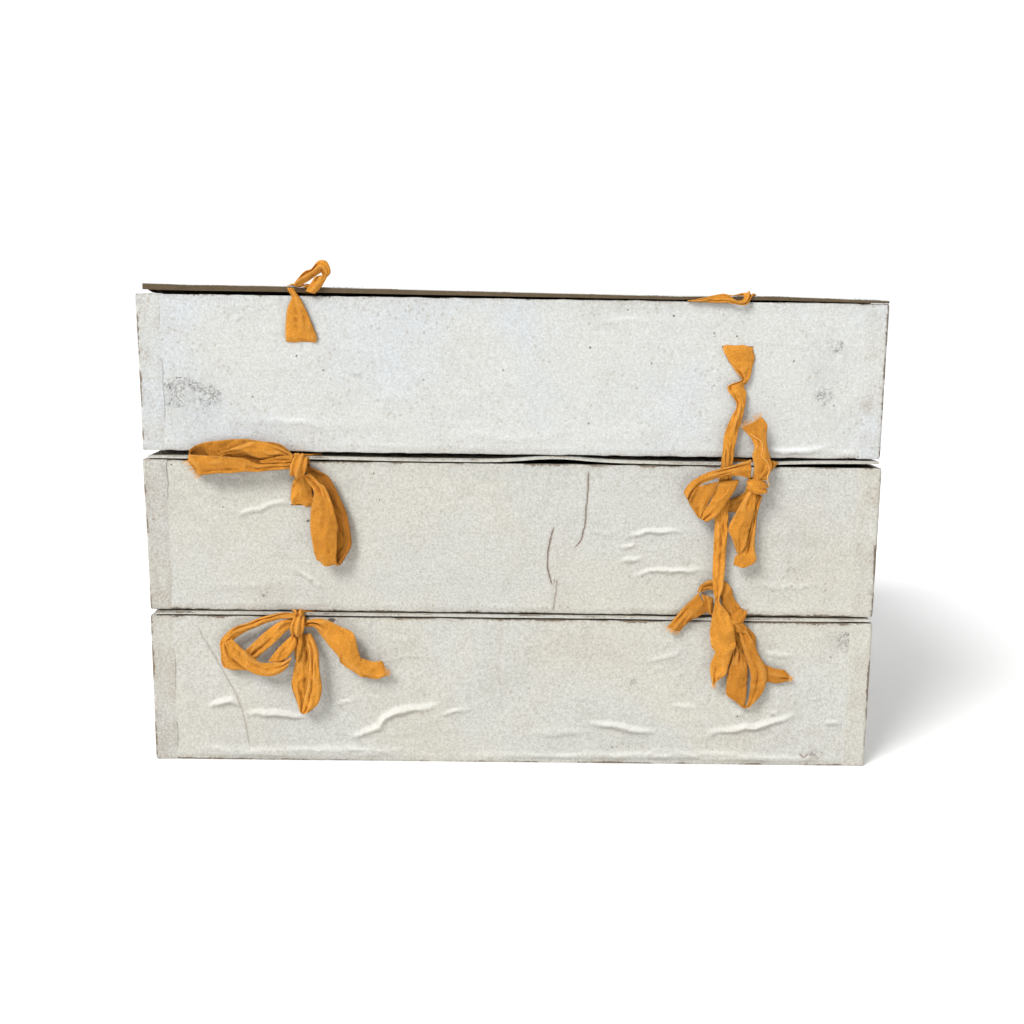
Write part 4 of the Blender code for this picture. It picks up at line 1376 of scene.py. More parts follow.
def tape_patch(box):
    """The strip glued inside the front wall over the ends of the two tapes."""
    node = f"{box}_tape_patch"
    low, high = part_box(node)
    wall_low, wall_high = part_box(f"{box}_front_wall")
    middle = middle_of(box)
    seed = 170 + BOXES.index(box)
    us = np.linspace(0, high.x - low.x, 150)
    vs = np.linspace(0, high.z - low.z, 24)

    def place(u, v):
        x, z = high.x - u, v + low.z
        raised = np.zeros(u.shape)
        for slit in SLIT_X.values():
            inside = ease(-np.abs(x - middle - slit), -0.0125, -0.0105)
            level = np.abs(z - wall_low.z - SLIT_RISE + 0.007)
            raised = np.maximum(raised, inside * ease(-level, -0.0098, -0.0082))
        loose = (cloud(u, v, 0.02, seed) + 1) * 0.00012
        return np.stack([x, wall_high.y + 0.00035 + loose + raised * 0.0006, z], -1)

    piece = sheet_grid(f"{box}_tape_patch_paper", us, vs, place, [paper_of(box, False)], 0.0003, -1.0)
    facing_out(piece)
    return settle(piece, f"{box}_tray", paper_of(box, False), node)


# ---- cotton tape

# How each strand of a bow lies: pleats across it, and how much of its width may be turned under.
LAY = {
    ("middle_left", "upper loop"): (1.4, 0.9),
    ("middle_left", "middle leaf"): (1.6, 0.7),
    ("middle_left", "twisted strand"): (1.0, 0.8),
    ("middle_left", "hanging loop"): (1.2, 0.5),
    ("bottom_left", "tail"): (1.6, 0.4),
    ("middle_right", "lower left"): (1.3, 0.6),
}
# How far each bow has darkened with age.
AGED = {"middle_left": 0.45, "bottom_left": 0.12, "middle_right": 0.4, "bottom_right": 0.8}
# The long thread beside the middle box's right bow: (x, z, out), in millimetres.
LOOSE_THREAD = [
    (156.7, 236.4, 11.4), (164.2, 231.0, 12.2), (164.8, 225.2, 12.2), (164.2, 222.3, 12.2),
    (168.4, 217.9, 12.4), (170.1, 212.1, 12.8), (168.9, 207.7, 13.4), (170.7, 201.1, 13.0),
]


def edge_pairs(stations):
    """The two edges of each cross-section in space, from (x, z, x, z, out) in millimetres."""
    pairs = []
    for x0, z0, x1, z1, out in stations:
        y = FRONT - out * MM
        pairs.append(((x0 * MM, y, z0 * MM), (x1 * MM, y, z1 * MM)))
    return np.array(pairs)


def unit(rows):
    return rows / np.maximum(np.linalg.norm(rows, axis=-1, keepdims=True), 1e-9)


def strand(pairs, pleats, tucked, seed, crown=0.10):
    """One run of tape through cross-sections: pleated where it is narrow, and the rest turned under.

    Gives its points in rows, their places on the flat tape, its length and each point's painted fold
    shading: shade deep in a fold, highlight on its ridge."""
    flat_pairs = np.asarray(pairs).reshape(-1, 6)
    rows = smooth_path(flat_pairs, FINE_STEP).reshape(-1, 2, 3)
    first, second = rows[:, 0], rows[:, 1]
    middle = (first + second) / 2
    across = second - first
    width = np.linalg.norm(across, axis=1)
    run = np.gradient(middle, axis=0)
    out = unit(np.cross(across, run))
    for _ in range(6):
        padded = np.concatenate([out[:1], out, out[-1:]])
        out = unit(padded[:-2] + padded[1:-1] * 1.5 + padded[2:])
    facing = -out[:, 1].sum() / len(out)
    if abs(facing) > 0.55:
        sign = math.copysign(1, facing)
    else:
        sign = math.copysign(1, ((middle - middle.mean(0)) * out).sum())
    out = out * sign
    along = np.concatenate([[0], np.cumsum(np.linalg.norm(middle[1:] - middle[:-1], axis=1))])
    ratio = TAPE / np.maximum(width, 0.003)
    wave = np.maximum(width, 0.002) / pleats
    spare_cloth = np.maximum((0.62 * ratio) ** 2 - 1, 0.0)
    tall = np.clip(wave / (2 * math.pi) * np.sqrt(2 * spare_cloth), 0.0003, 0.0017)
    tall = np.where(width > 0.0175, 0.00022, tall)
    tall = np.convolve(np.pad(tall, 3, mode="edge"), np.ones(7) / 7, mode="valid")
    shares = np.linspace(0, 1, 17)
    across_at, along_at = np.meshgrid(shares, along, indexing="xy")
    random = np.random.RandomState(seed)
    phase, other = random.rand(2) * 2 * math.pi
    window = (4 * across_at * (1 - across_at)) ** 0.35 * 0.75 + 0.25
    wide = 2 * np.abs(np.sin(math.pi * pleats * across_at + phase / 2 + along_at * 14)) - 1
    narrow = 2 * np.abs(np.sin(math.pi * pleats * 1.8 * across_at + other / 2 - along_at * 22)) - 1
    fading = np.clip(0.62 + 0.75 * cloud(along_at, across_at * 0.02, 0.016, seed + 6, 1.2), 0.05, 1.3)
    pleat = (0.72 * wide + 0.30 * narrow) * fading
    height = tall[:, None] * pleat * window
    height += crown * np.minimum(width, 0.014)[:, None] * np.sin(math.pi * across_at)
    skew = across_at * 0.02
    creased = cloud(along_at + across_at * 0.006, skew - along_at * 0.3, 0.010, seed + 1, 0.7)
    finer = cloud(along_at - across_at * 0.005, skew + along_at * 0.2, 0.0048, seed + 2, 0.9)
    creased = 1 - 2.4 * np.abs(creased)
    finer = 1 - 2.4 * np.abs(finer)
    creased = np.clip(creased, -0.5, 1)
    finer = np.clip(finer, -0.6, 1)
    height += 0.00085 * creased + 0.00034 * finer
    # Painted fold shading from the pleats and creases: shade where they dip, a painted highlight where they
    # rise.
    hollow = -pleat * window * np.clip(tall / 0.0009, 0, 1)[:, None] - 0.45 * creased - 0.25 * finer
    front = first[:, None] + across[:, None] * across_at[..., None] + out[:, None] * height[..., None]
    steps = np.linalg.norm(front[:, 1:] - front[:, :-1], axis=2)
    arc = np.concatenate([np.zeros((len(front), 1)), np.cumsum(steps, axis=1)], axis=1)
    spare = np.clip(TAPE - arc[:, -1], 0, tucked * arc[:, -1])
    grid, place = front, arc
    if tucked > 0.05 and spare.max() > 0.0015:
        spare = np.convolve(np.pad(spare, 3, mode="edge"), np.ones(7) / 7, mode="valid")
        under = []
        under_arc = []
        for share in (0.03, 0.10, 0.25, 0.45, 0.65, 0.85, 1.0):
            back = spare * share
            at = np.clip(arc[:, -1] - back, 0, None)
            points = np.empty((len(front), 3))
            for row, axis in np.ndindex(points.shape):
                points[row, axis] = np.interp(at[row], arc[row], front[row, :, axis])
            gap = 0.0008 * (1 - np.exp(-(back + 0.00012) / 0.0004)) + 0.0003 * share
            bow_out = unit(across) * (0.00035 * np.exp(-((share - 0.03) ** 2) / 0.004))
            under.append(points - out * gap[:, None] + bow_out)
            under_arc.append(arc[:, -1] + back + 0.0004)
        grid = np.concatenate([front, np.stack(under, 1)], axis=1)
        place = np.concatenate([arc, np.stack(under_arc, 1)], axis=1)
        # The turned-under layer gets painted shade.
        hollow = np.concatenate([hollow, np.full((len(front), len(under)), 0.6)], axis=1)
    weave = np.stack([place + (TAPE - place[:, -1:]) / 2, np.broadcast_to(along[:, None], place.shape)], -1)
    return grid, weave, along[-1], hollow


def knot_band(x, z, out, tall, deep, lean, half):
    """The cross-sections of the band round a knot: once round and a little over, on a slight spiral."""
    lean = math.radians(lean)
    around = np.array([math.sin(lean), 0.0, math.cos(lean)])
    beside = np.array([math.cos(lean), 0.0, -math.sin(lean)])
    centre = np.array([x * MM, FRONT - out * MM, z * MM])
    pairs = []
    for turn in np.linspace(-200, 190, 21):
        angle = math.radians(turn)
        pinch = 1 + 0.15 * math.cos(angle * 2)
        slide = turn / 200 * 1.1
        forward = np.array([0, 1.0, 0]) * math.cos(angle) * deep
        point = centre + (around * math.sin(angle) * tall - forward) * MM
        left = point + beside * (slide - half * pinch) * MM
        right = point + beside * (slide + half * pinch) * MM
        pairs.append((left, right))
    return np.array(pairs)


def tape_piece(name, strands, body, rests_on, held, node, extra=(), aged=0.1):
    points, weave, faces, hollow = [], [], [], []
    length = 0.0
    start = 0
    for grid, flat, run, dark in strands:
        rows, columns = grid.shape[:2]
        number = start + np.arange(rows * columns).reshape(rows, columns)
        faces += quads_of(number)
        points.append(grid.reshape(-1, 3))
        weave.append((flat + np.array([0, length])).reshape(-1, 2))
        hollow.append(dark.ravel())
        length += run
        start += rows * columns
    points = np.concatenate(points)
    paint = {"hollow": np.concatenate(hollow), "aged": np.full(len(points), aged)}
    piece = add_piece(name, points, faces, [TAPE_SLOT], None, paint, np.concatenate(weave), None)
    thicken(piece, settings().cloth_thickness)
    settle(piece, body, TAPE_SLOT, node)
    return piece


def wall_tape(box, side):
    """From its glued end inside the tray, out through the slit, to the knot or its free end."""
    node = f"{box}_{side}_wall_tape"
    low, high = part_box(f"{box}_front_wall")
    x = middle_of(box) + SLIT_X[side]
    z = low.z + SLIT_RISE
    half = TAPE / 2
    inside, outside = high.y + 0.0003, low.y - 0.0003
    turn = 1 if (box, side) != ("top", "right") else -1
    path = [
        (inside, z - 0.014), (inside, z - 0.007), (inside, z - 0.0012), (high.y - 0.0006, z),
        (low.y + 0.0006, z),
        (outside - 0.0002, z + turn * 0.0010),
    ]
    share = SLIT_OPEN.get((box, side), 1.0)
    right_ends = [x + half - TAPE * (1 - share) * (level > z - 0.005) for _, level in path]
    pairs = [((x - half, y, level), (end, y, level)) for (y, level), end in zip(path, right_ends)]
    pairs = np.concatenate([np.array(pairs), edge_pairs(WALL_TAPES[f"{box}_{side}"])])
    seed = 200 + 10 * BOXES.index(box) + SIDES.index(side)
    pleats = {"top_left": 1.3, "top_right": 1.2}.get(f"{box}_{side}", 2.0)
    made = strand(pairs, pleats, 0.8, seed, crown=0.04)
    held = "hung" if (box, side) == ("top", "right") else "laid"
    extra = []
    if (box, side) == ("top", "right"):
        extra = [frayed_threads(f"{box}_{side}_tape_threads", [made[0]], f"{box}_tray", 31)]
    name = f"{box}_{side}_wall_ribbon"
    return tape_piece(name, [made], f"{box}_tray", f"{box}_front_panel", held, node, extra)


def lid_tape(box, side):
    """From its glued end under the lid, up through the slit, and over the lid's front edge."""
    node = f"{box}_{side}_lid_tape"
    lid_low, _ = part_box(f"{box}_lid_board")
    front = front_of(box)
    x = middle_of(box) + SLIT_X[side]
    slit = front + LID_SLIT_BACK
    half = TAPE / 2

    def rise(y):
        return float(lid_warp(box, np.array([SLIT_X[side]]), np.array([y - front - HALF_DEPTH]))[0])

    path = [
        (slit + 0.014, -0.0003, 1.0), (slit + 0.007, -0.0003, 1.0), (slit + 0.0012, -0.0002, 1.0),
        (slit, 0.0004, 1.0),
        (slit, 0.0016, 1.0), (slit - 0.0014, 0.0025, 1.0), (slit - 0.005, 0.0024, 0.8),
        (front + 0.0008, 0.0024, 0.5),
    ]
    first, last = LID_TAPES[f"{box}_{side}"][0], front + 0.0008
    aim = (first[0] + first[2]) / 2 * MM - x
    pairs = []
    for y, up, share in path:
        moved = x + aim * float(np.clip((slit - 0.0014 - y) / (slit - 0.0014 - last), 0, 1)) ** 1.3
        level = lid_low.z + rise(y) + up
        pairs.append(((moved - half * share, y, level), (moved + half * share, y, level)))
    pairs = np.concatenate([np.array(pairs), edge_pairs(LID_TAPES[f"{box}_{side}"])])
    seed = 260 + 10 * BOXES.index(box) + SIDES.index(side)
    made = strand(pairs, 1.8, 0.8, seed, crown=0.02)
    name = f"{box}_{side}_lid_ribbon"
    return tape_piece(name, [made], f"{box}_lid", f"{box}_lid_cover", "laid", node)


def bow(name):
    """A bow: its loops, leaves and tails, and the band of its knot, as one tape."""
    box = name.split("_")[0]
    strands = []
    threads = []
    for count, (part, stations) in enumerate(BOW_RIBBONS[name].items()):
        if part == "knot":
            continue
        pleats, tucked = LAY.get((name, part), (1.5, 0.8))
        pairs = edge_pairs(stations)
        made = strand(pairs, pleats, tucked, 300 + 17 * count + len(name))
        strands.append(made)
        if part in FRAYED[name]:
            threads.append(made[0])
    band = strand(knot_band(*BOW_RIBBONS[name]["knot"]), 2.0, 0.6, 290 + len(name), crown=0.10)
    strands.append(band)
    extra = [frayed_threads(f"{name}_threads", threads, f"{box}_tray", 41 + len(name))]
    if name == "middle_right":
        extra.append(loose_thread())
    places = (f"{box}_tray", f"{box}_front_panel", "gathered", f"{name}_bow")
    return tape_piece(f"{name}_tied_bow", strands, *places, extra, AGED[name])


def top_loop():
    made = strand(edge_pairs(TOP_LOOP), 1.4, 0.7, 401, crown=0.05)
    places = ("top_lid", "top_lid_cover", "gathered", "top_left_loop")
    return tape_piece("top_left_standing_loop", [made], *places)


def tube(points, radius, sides):
    """A round thread along points, closed at its ends."""
    points = smooth_path(points, 0.0012)
    run = unit(np.gradient(points, axis=0))
    first = unit(np.cross(run, [0.2, 1.0, 0.1]))
    second = np.cross(run, first)
    angles = np.linspace(0, 2 * math.pi, sides, endpoint=False)
    ring = np.cos(angles)[None, :, None] * first[:, None] + np.sin(angles)[None, :, None] * second[:, None]
    shell = points[:, None] + ring * radius
    rows = len(points)
    number = np.arange(rows * sides).reshape(rows, sides)
    beside = np.roll(number, -1, axis=1)
    faces = np.stack([number[:-1], beside[:-1], beside[1:], number[1:]], -1).reshape(-1, 4).tolist()
    faces.append(number[0][::-1].tolist())
    faces.append(number[-1].tolist())
    return shell.reshape(-1, 3), faces


def loose_thread():
    points = [(x * MM, FRONT - out * MM, z * MM) for x, z, out in LOOSE_THREAD]
    shell, faces = tube(points, radius=0.00028, sides=5)
    piece = add_piece("middle_right_loose_thread", shell, faces, ["loose_thread"], sharp=None)
    facing_out(piece)
    return settle(piece, "middle_tray", TAPE_SLOT)


def thread_tree():
    """A node tree that grows short threads from a line of points, along the "outward" vector of each."""
    name = "Frayed Threads"
    if name in bpy.data.node_groups:
        return bpy.data.node_groups[name]
    tree = bpy.data.node_groups.new(name, "GeometryNodeTree")
    tree.interface.new_socket("Geometry", in_out="OUTPUT", socket_type="NodeSocketGeometry")
    tree.interface.new_socket("Geometry", in_out="INPUT", socket_type="NodeSocketGeometry")
    for label, kind in (
        ("Count", "NodeSocketInt"), ("Length", "NodeSocketFloat"), ("Thickness", "NodeSocketFloat"),
        ("Spread", "NodeSocketFloat"), ("Seed", "NodeSocketInt"), ("Finish", "NodeSocketMaterial"),
    ):
        tree.interface.new_socket(label, in_out="INPUT", socket_type=kind)
    nodes, links = tree.nodes, tree.links

    def add(kind, chosen=None, values=None):
        made = nodes.new(kind)
        for key, value in (chosen or {}).items():
            setattr(made, key, value)
        for key, value in (values or {}).items():
            if isinstance(value, bpy.types.NodeSocket):
                links.new(value, made.inputs[key])
            else:
                made.inputs[key].default_value = value
        return made

    def maths(operation, first, second):
        return add("ShaderNodeMath", {"operation": operation}, {0: first, 1: second}).outputs[0]

    def drawn(low, high, step):
        """A random value for each thread, from a seed that is a step away from the given one."""
        seed = maths("ADD", given["Seed"], step)
        values = {2: low, 3: high, "Seed": seed}
        return add("FunctionNodeRandomValue", {"data_type": "FLOAT"}, values).outputs[1]

    given = add("NodeGroupInput").outputs
    line = add("GeometryNodeMeshToCurve", values={"Mesh": given["Geometry"]})
    spots = add("GeometryNodeCurveToPoints", {"mode": "COUNT"}, {
        "Curve": line.outputs[0], "Count": given["Count"],
    })
    single = add("GeometryNodeCurvePrimitiveBezierSegment", {"mode": "OFFSET"}, {
        "Resolution": 5, "Start": (0, 0, 0), "End": (0.1, 0.1, 1.0),
        "Start Handle": (0.1, 0.0, 0.35), "End Handle": (-0.12, 0.12, -0.3),
    })
    ring = add("GeometryNodeCurvePrimitiveCircle", values={"Resolution": 4, "Radius": 0.5})
    slim = maths("DIVIDE", given["Thickness"], given["Length"])
    sized = add("GeometryNodeTransform", values={"Geometry": ring.outputs[0]})
    scale = add("ShaderNodeCombineXYZ", values={0: slim, 1: slim, 2: 1.0})
    links.new(scale.outputs[0], sized.inputs["Scale"])
    thread = add("GeometryNodeCurveToMesh", values={
        "Curve": single.outputs[0], "Profile Curve": sized.outputs[0], "Fill Caps": True,
    })
    outward = add("GeometryNodeInputNamedAttribute", {"data_type": "FLOAT_VECTOR"}, {"Name": "outward"})
    low = add("ShaderNodeCombineXYZ")
    high = add("ShaderNodeCombineXYZ")
    minus = maths("MULTIPLY", given["Spread"], -1.0)
    for axis in range(3):
        links.new(minus, low.inputs[axis])
        links.new(given["Spread"], high.inputs[axis])
    jitter = add("FunctionNodeRandomValue", {"data_type": "FLOAT_VECTOR"}, {
        0: low.outputs[0], 1: high.outputs[0], "Seed": given["Seed"],
    })
    aim = add("ShaderNodeVectorMath", {"operation": "ADD"}, {0: outward.outputs[0], 1: jitter.outputs[0]})
    facing = add("FunctionNodeAlignRotationToVector", {"axis": "Z"}, {"Vector": aim.outputs[0]})
    spin = add("ShaderNodeCombineXYZ", values={2: drawn(0.0, 6.28, 7.0)})
    turned = add("FunctionNodeRotateRotation", {"rotation_space": "LOCAL"}, {
        "Rotation": facing.outputs[0], "Rotate By": spin.outputs[0],
    })
    long = maths("MULTIPLY", drawn(0.3, 1.0, 13.0), given["Length"])
    copies = add("GeometryNodeInstanceOnPoints", values={
        "Points": spots.outputs[0], "Instance": thread.outputs[0],
        "Rotation": turned.outputs[0], "Scale": long,
    })
    real = add("GeometryNodeRealizeInstances", values={"Geometry": copies.outputs[0]})
    coated = add("GeometryNodeSetMaterial", values={
        "Geometry": real.outputs[0], "Material": given["Finish"],
    })
    ending = add("NodeGroupOutput")
    links.new(coated.outputs[0], ending.inputs[0])
    return tree


def grown_threads(name, lines, outward, sizes, chosen):
    """Threads grown from lines of points, as one plain mesh. sizes are the node tree's settings."""
    points, edges, aims = [], [], []
    for line, aim in zip(lines, outward):
        start = len(points)
        points += [tuple(p) for p in line]
        aims += [tuple(a) for a in aim]
        edges += [(start + k, start + k + 1) for k in range(len(line) - 1)]
    data = bpy.data.meshes.new(name)
    data.from_pydata(points, edges, [])
    layer = data.attributes.new("outward", "FLOAT_VECTOR", "POINT")
    layer.data.foreach_set("vector", np.asarray(aims, np.float32).ravel())
    data.materials.append(finish(chosen))
    piece = bpy.data.objects.new(name, data)
    bpy.context.collection.objects.link(piece)
    tree = thread_tree()
    modifier = piece.modifiers.new("Threads", "NODES")
    modifier.node_group = tree
    values = {**sizes, "Finish": finish(chosen)}
    for item in tree.interface.items_tree:
        if item.in_out == "INPUT" and item.name in values:
            modifier[item.identifier] = values[item.name]
    baked(piece)
    piece.data.polygons.foreach_set("use_smooth", np.ones(len(piece.data.polygons), bool))
    return piece


def frayed_threads(name, grids, body, seed):
    """The threads that stand out of the cut ends of a tape."""
    lines, aims = [], []
    for grid in grids:
        aims.append(unit(grid[-1] - grid[-4]))
        lines.append(grid[-1])
    sizes = {"Count": 52, "Thickness": 0.00028, "Spread": 0.60, "Seed": seed}
    sizes["Length"] = settings().thread_length
    piece = grown_threads(name, lines, aims, sizes, "loose_thread")
    return settle(piece, body, TAPE_SLOT)


# Where the lids' front edges have torn: from and to, in millimetres from the middle.
TORN_SPANS = {"top": [(-152, -128), (-120, -100), (225, 243)], "middle": [(106, 152), (40, 60)]}


def torn_edges():
    """Torn paper fibres along the front edges of the top and the middle lid."""
    for box, spans in TORN_SPANS.items():
        lid_low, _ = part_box(f"{box}_lid_board")
        middle = middle_of(box)
        lines, aims = [], []
        for start, end in spans:
            x = np.linspace(start, end, 12) * MM
            lift = lid_warp(box, x, np.full(x.shape, -HALF_DEPTH))
            lines.append(np.stack([x + middle, x * 0 + lid_low.y + 0.0004, lid_low.z + 0.0019 + lift], -1))
            aims.append(np.stack([x * 0 + 0.1, x * 0 - 1.0, x * 0 + 0.1], -1))
        sizes = {"Count": 60, "Length": 0.0016, "Thickness": 0.0003, "Spread": 0.7, "Seed": 50 + len(box)}
        piece = grown_threads(f"{box}_torn_paper", lines, aims, sizes, "torn_paper_fibre")
        settle(piece, f"{box}_lid", paper_of(box, False))


def torn_flap():
    """The flap of covering paper that has torn up under the standing loop."""
    lid_low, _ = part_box("top_lid_board")
    middle = middle_of("top")
    us = np.linspace(0, 0.019, 26)
    vs = np.linspace(0, 0.006, 10)

    def place(u, v):
        x = middle - 0.1485 + u
        lift = lid_warp("top", x - middle, np.full(u.shape, -HALF_DEPTH))
        ragged = cloud(u, v * 0, 0.003, 505) * 0.0012
        reach = v * (0.4 + 0.6 * np.sin(np.pi * np.clip(u / 0.019, 0, 1))) + ragged * v / 0.006
        y = lid_low.y + 0.0032 - reach * 0.9
        z = lid_low.z + 0.00225 + lift + 0.0006 * np.sin(u * 700) * v / 0.006 - 18.0 * reach * reach
        return np.stack([x, y, z], -1)

    piece = sheet_grid("top_torn_flap", us, vs, place, ["cool_white_paper"], 0.00025, 0.0)
    facing_out(piece)
    return settle(piece, "top_lid", "cool_white_paper")


# ---- stage


# The key light's strength, the spread of its light in degrees, and the way that it shines.
KEY_STRENGTH = 2.95
KEY_SPREAD = 24
KEY_DIRECTION = (0.75, 0.90, -1.02)
# The world's strength in front of the boxes and behind them.
WORLD_STRENGTH = (0.48, 1.04)
FLOOR_HALF = 9.0
# The camera's focal length in millimetres, its place, and its pitch, yaw and roll in degrees.
CAMERA_LENS = 44.93
CAMERA_PLACE = (-0.0102, -1.0410, 0.3258)
CAMERA_TURNS = (9.63, -0.55, -0.80)


def studio():
    """The floor, the soft light and the camera."""
    scene = bpy.context.scene
    scene.view_settings.view_transform = "Standard"
    scene.view_settings.look = "None"
    world = bpy.data.worlds.new("Studio")
    scene.world = world
    world.use_nodes = True
    tree = world.node_tree
    tree.nodes.clear()
    place = tree.nodes.new("ShaderNodeTexCoord")
    split = tree.nodes.new("ShaderNodeSeparateXYZ")
    spread = tree.nodes.new("ShaderNodeMapRange")
    spread.interpolation_type = "SMOOTHSTEP"
    background = tree.nodes.new("ShaderNodeBackground")
    ending = tree.nodes.new("ShaderNodeOutputWorld")
    tree.links.new(place.outputs["Generated"], split.inputs[0])
    tree.links.new(split.outputs["Y"], spread.inputs["Value"])
    dim, bright = WORLD_STRENGTH
    for socket, value in (("From Min", -0.1), ("From Max", 0.6), ("To Min", dim), ("To Max", bright)):
        spread.inputs[socket].default_value = value
    tree.links.new(spread.outputs["Result"], background.inputs["Strength"])
    background.inputs["Color"].default_value = (1.0, 1.0, 1.0, 1)
    tree.links.new(background.outputs[0], ending.inputs[0])
    data = bpy.data.lights.new("Key", "SUN")
    data.energy = KEY_STRENGTH
    data.angle = math.radians(KEY_SPREAD)
    light = bpy.data.objects.new("Key", data)
    bpy.context.collection.objects.link(light)
    light.rotation_euler = Vector(KEY_DIRECTION).to_track_quat("-Z", "Y").to_euler()

    points = np.array([(-1.0, -1.0, 0.0), (1.0, -1.0, 0.0), (1.0, 1.0, 0.0), (-1.0, 1.0, 0.0)]) * FLOOR_HALF
    floor = add_piece("studio_floor", points, [[0, 1, 2, 3]], ["studio_floor"], sharp=None)

    data = bpy.data.cameras.new("Camera")
    camera = bpy.data.objects.new("Camera", data)
    bpy.context.collection.objects.link(camera)
    data.lens = CAMERA_LENS
    data.sensor_width = 36.0
    data.clip_start = 0.01
    data.clip_end = 60.0
    pitch, yaw, roll = (math.radians(value) for value in CAMERA_TURNS)
    turn = Matrix(((math.cos(yaw), math.sin(yaw), 0), (-math.sin(yaw), math.cos(yaw), 0), (0, 0, 1)))
    tip = Matrix(((1, 0, 0), (0, math.cos(pitch), -math.sin(pitch)), (0, math.sin(pitch), math.cos(pitch))))
    lean = Matrix(((math.cos(roll), 0, -math.sin(roll)), (0, 1, 0), (math.sin(roll), 0, math.cos(roll))))
    right, forward, up = lean @ tip @ turn
    axes = Matrix((right, up, -Vector(forward))).transposed()
    camera.matrix_world = Matrix.Translation(CAMERA_PLACE) @ axes.to_4x4()
    scene.camera = camera


# ---- add-on


def colour_setting(label, words, value):
    return bpy.props.FloatVectorProperty(
        name=label, description=words, subtype="COLOR", size=3, min=0.0, max=1.0, default=value
    )


class ArchiveSettings(bpy.types.PropertyGroup):
    """The sizes and colours that a user would change."""

    cool_paper: colour_setting("Top box paper", "Covering paper of the top box", (0.60, 0.617, 0.622))
    warm_paper: colour_setting("Lower boxes' paper", "Paper of the lower boxes", (0.568, 0.564, 0.530))
    board_colour: colour_setting("Board", "Bare pulp board under the lids", (0.215, 0.175, 0.115))
    lining_colour: colour_setting("Lining", "Brown paper under the lids", (0.20, 0.145, 0.085))
    tape_colour: colour_setting("Tape", "Ochre cotton tape", (0.76, 0.305, 0.030))
    cloth_thickness: bpy.props.FloatProperty(
        name="Tape thickness", description="Thickness of the cotton tape",
        default=CLOTH, min=0.0002, max=0.001, unit="LENGTH", precision=5,
    )
    thread_length: bpy.props.FloatProperty(
        name="Thread length", description="Longest thread at a frayed end",
        default=0.0042, min=0.0005, max=0.01, unit="LENGTH", precision=4,
    )
    wear: bpy.props.FloatProperty(
        name="Wear", description="How far the paper has worn through at its edges",
        default=0.85, min=0.0, max=1.0, subtype="FACTOR",
    )
    creases: bpy.props.FloatProperty(
        name="Creases", description="Height of the creases in the fronts' paper",
        default=1.0, min=0.0, max=1.5, subtype="FACTOR",
    )


class ARCHIVE_OT_panels(bpy.types.Operator):
    """Builds the paper-covered walls of the three trays"""

    bl_idname = "archive.panels"
    bl_label = "Tray panels"

    def execute(self, context):
        for box in BOXES:
            front_panel(box)
            for side in ("left", "right", "rear"):
                side_panel(box, side)
        return {"FINISHED"}


class ARCHIVE_OT_corner_papers(bpy.types.Operator):
    """Folds a paper strip round each upright corner"""

    bl_idname = "archive.corner_papers"
    bl_label = "Corner papers"

    def execute(self, context):
        for box in BOXES:
            for end in ("front", "rear"):
                for side in SIDES:
                    corner_paper(box, end, side)
        return {"FINISHED"}


class ARCHIVE_OT_lids(bpy.types.Operator):
    """Builds the lids, warped and curled by use"""

    bl_idname = "archive.lids"
    bl_label = "Lids"

    def execute(self, context):
        for box in BOXES:
            lid_cover(box)
        torn_edges()
        torn_flap()
        return {"FINISHED"}


class ARCHIVE_OT_linings(bpy.types.Operator):
    """Glues the lid linings and tape patches, and finishes the trays' floors"""

    bl_idname = "archive.linings"
    bl_label = "Linings"

    def execute(self, context):
        for box in BOXES:
            lid_lining(box)
            tape_patch(box)
            for part, chosen in (("base_board", "greyboard"), ("floor_lining", paper_of(box, False))):
                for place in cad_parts[f"{box}_{part}"].material_slots:
                    place.material = finish(chosen)
        return {"FINISHED"}


class ARCHIVE_OT_hinges(bpy.types.Operator):
    """Glues the paper strips that hinge the lids"""

    bl_idname = "archive.hinges"
    bl_label = "Hinge papers"

    def execute(self, context):
        for box in BOXES:
            hinge_paper(box)
        return {"FINISHED"}


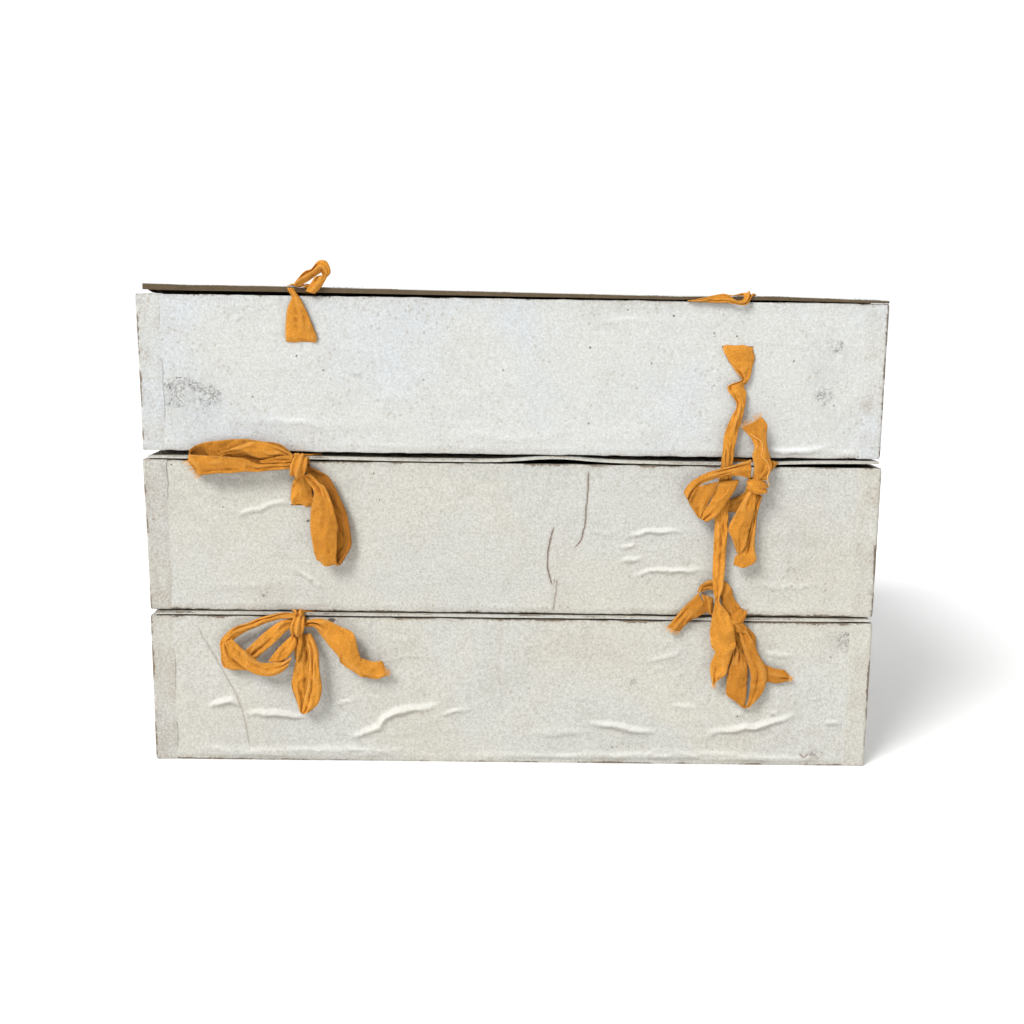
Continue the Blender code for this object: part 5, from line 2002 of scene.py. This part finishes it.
class ARCHIVE_OT_tapes(bpy.types.Operator):
    """Threads the cotton tapes through the walls and the lids"""

    bl_idname = "archive.tapes"
    bl_label = "Tapes"

    def execute(self, context):
        for box in BOXES:
            for side in SIDES:
                wall_tape(box, side)
                lid_tape(box, side)
        return {"FINISHED"}


class ARCHIVE_OT_bows(bpy.types.Operator):
    """Ties the four bows and the standing loop"""

    bl_idname = "archive.bows"
    bl_label = "Bows"

    def execute(self, context):
        for name in BOW_RIBBONS:
            bow(name)
        top_loop()
        return {"FINISHED"}


class ARCHIVE_OT_stage(bpy.types.Operator):
    """Sets the floor, the light and the camera"""

    bl_idname = "archive.stage"
    bl_label = "Stage"

    def execute(self, context):
        studio()
        return {"FINISHED"}


OPERATORS = (
    ARCHIVE_OT_panels, ARCHIVE_OT_corner_papers, ARCHIVE_OT_lids, ARCHIVE_OT_linings, ARCHIVE_OT_hinges,
    ARCHIVE_OT_tapes, ARCHIVE_OT_bows, ARCHIVE_OT_stage,
)


class ARCHIVE_PT_sidebar(bpy.types.Panel):
    """Lists the settings and the steps"""

    bl_idname = "ARCHIVE_PT_sidebar"
    bl_label = "Archival boxes"
    bl_space_type = "VIEW_3D"
    bl_region_type = "UI"
    bl_category = "Archive"

    def draw(self, context):
        for name in ArchiveSettings.__annotations__:
            self.layout.prop(context.scene.archive, name)
        for operator in OPERATORS:
            self.layout.operator(operator.bl_idname)


CLASSES = (ArchiveSettings, *OPERATORS, ARCHIVE_PT_sidebar)


def register():
    for made in CLASSES:
        bpy.utils.register_class(made)
    bpy.types.Scene.archive = bpy.props.PointerProperty(type=ArchiveSettings)


def unregister():
    del bpy.types.Scene.archive
    for made in reversed(CLASSES):
        bpy.utils.unregister_class(made)


def main():
    register()
    bpy.ops.archive.panels()
    bpy.ops.archive.corner_papers()
    bpy.ops.archive.lids()
    bpy.ops.archive.linings()
    bpy.ops.archive.hinges()
    bpy.ops.archive.tapes()
    bpy.ops.archive.bows()
    bpy.ops.archive.stage()


if __name__ == "__main__":
    main()
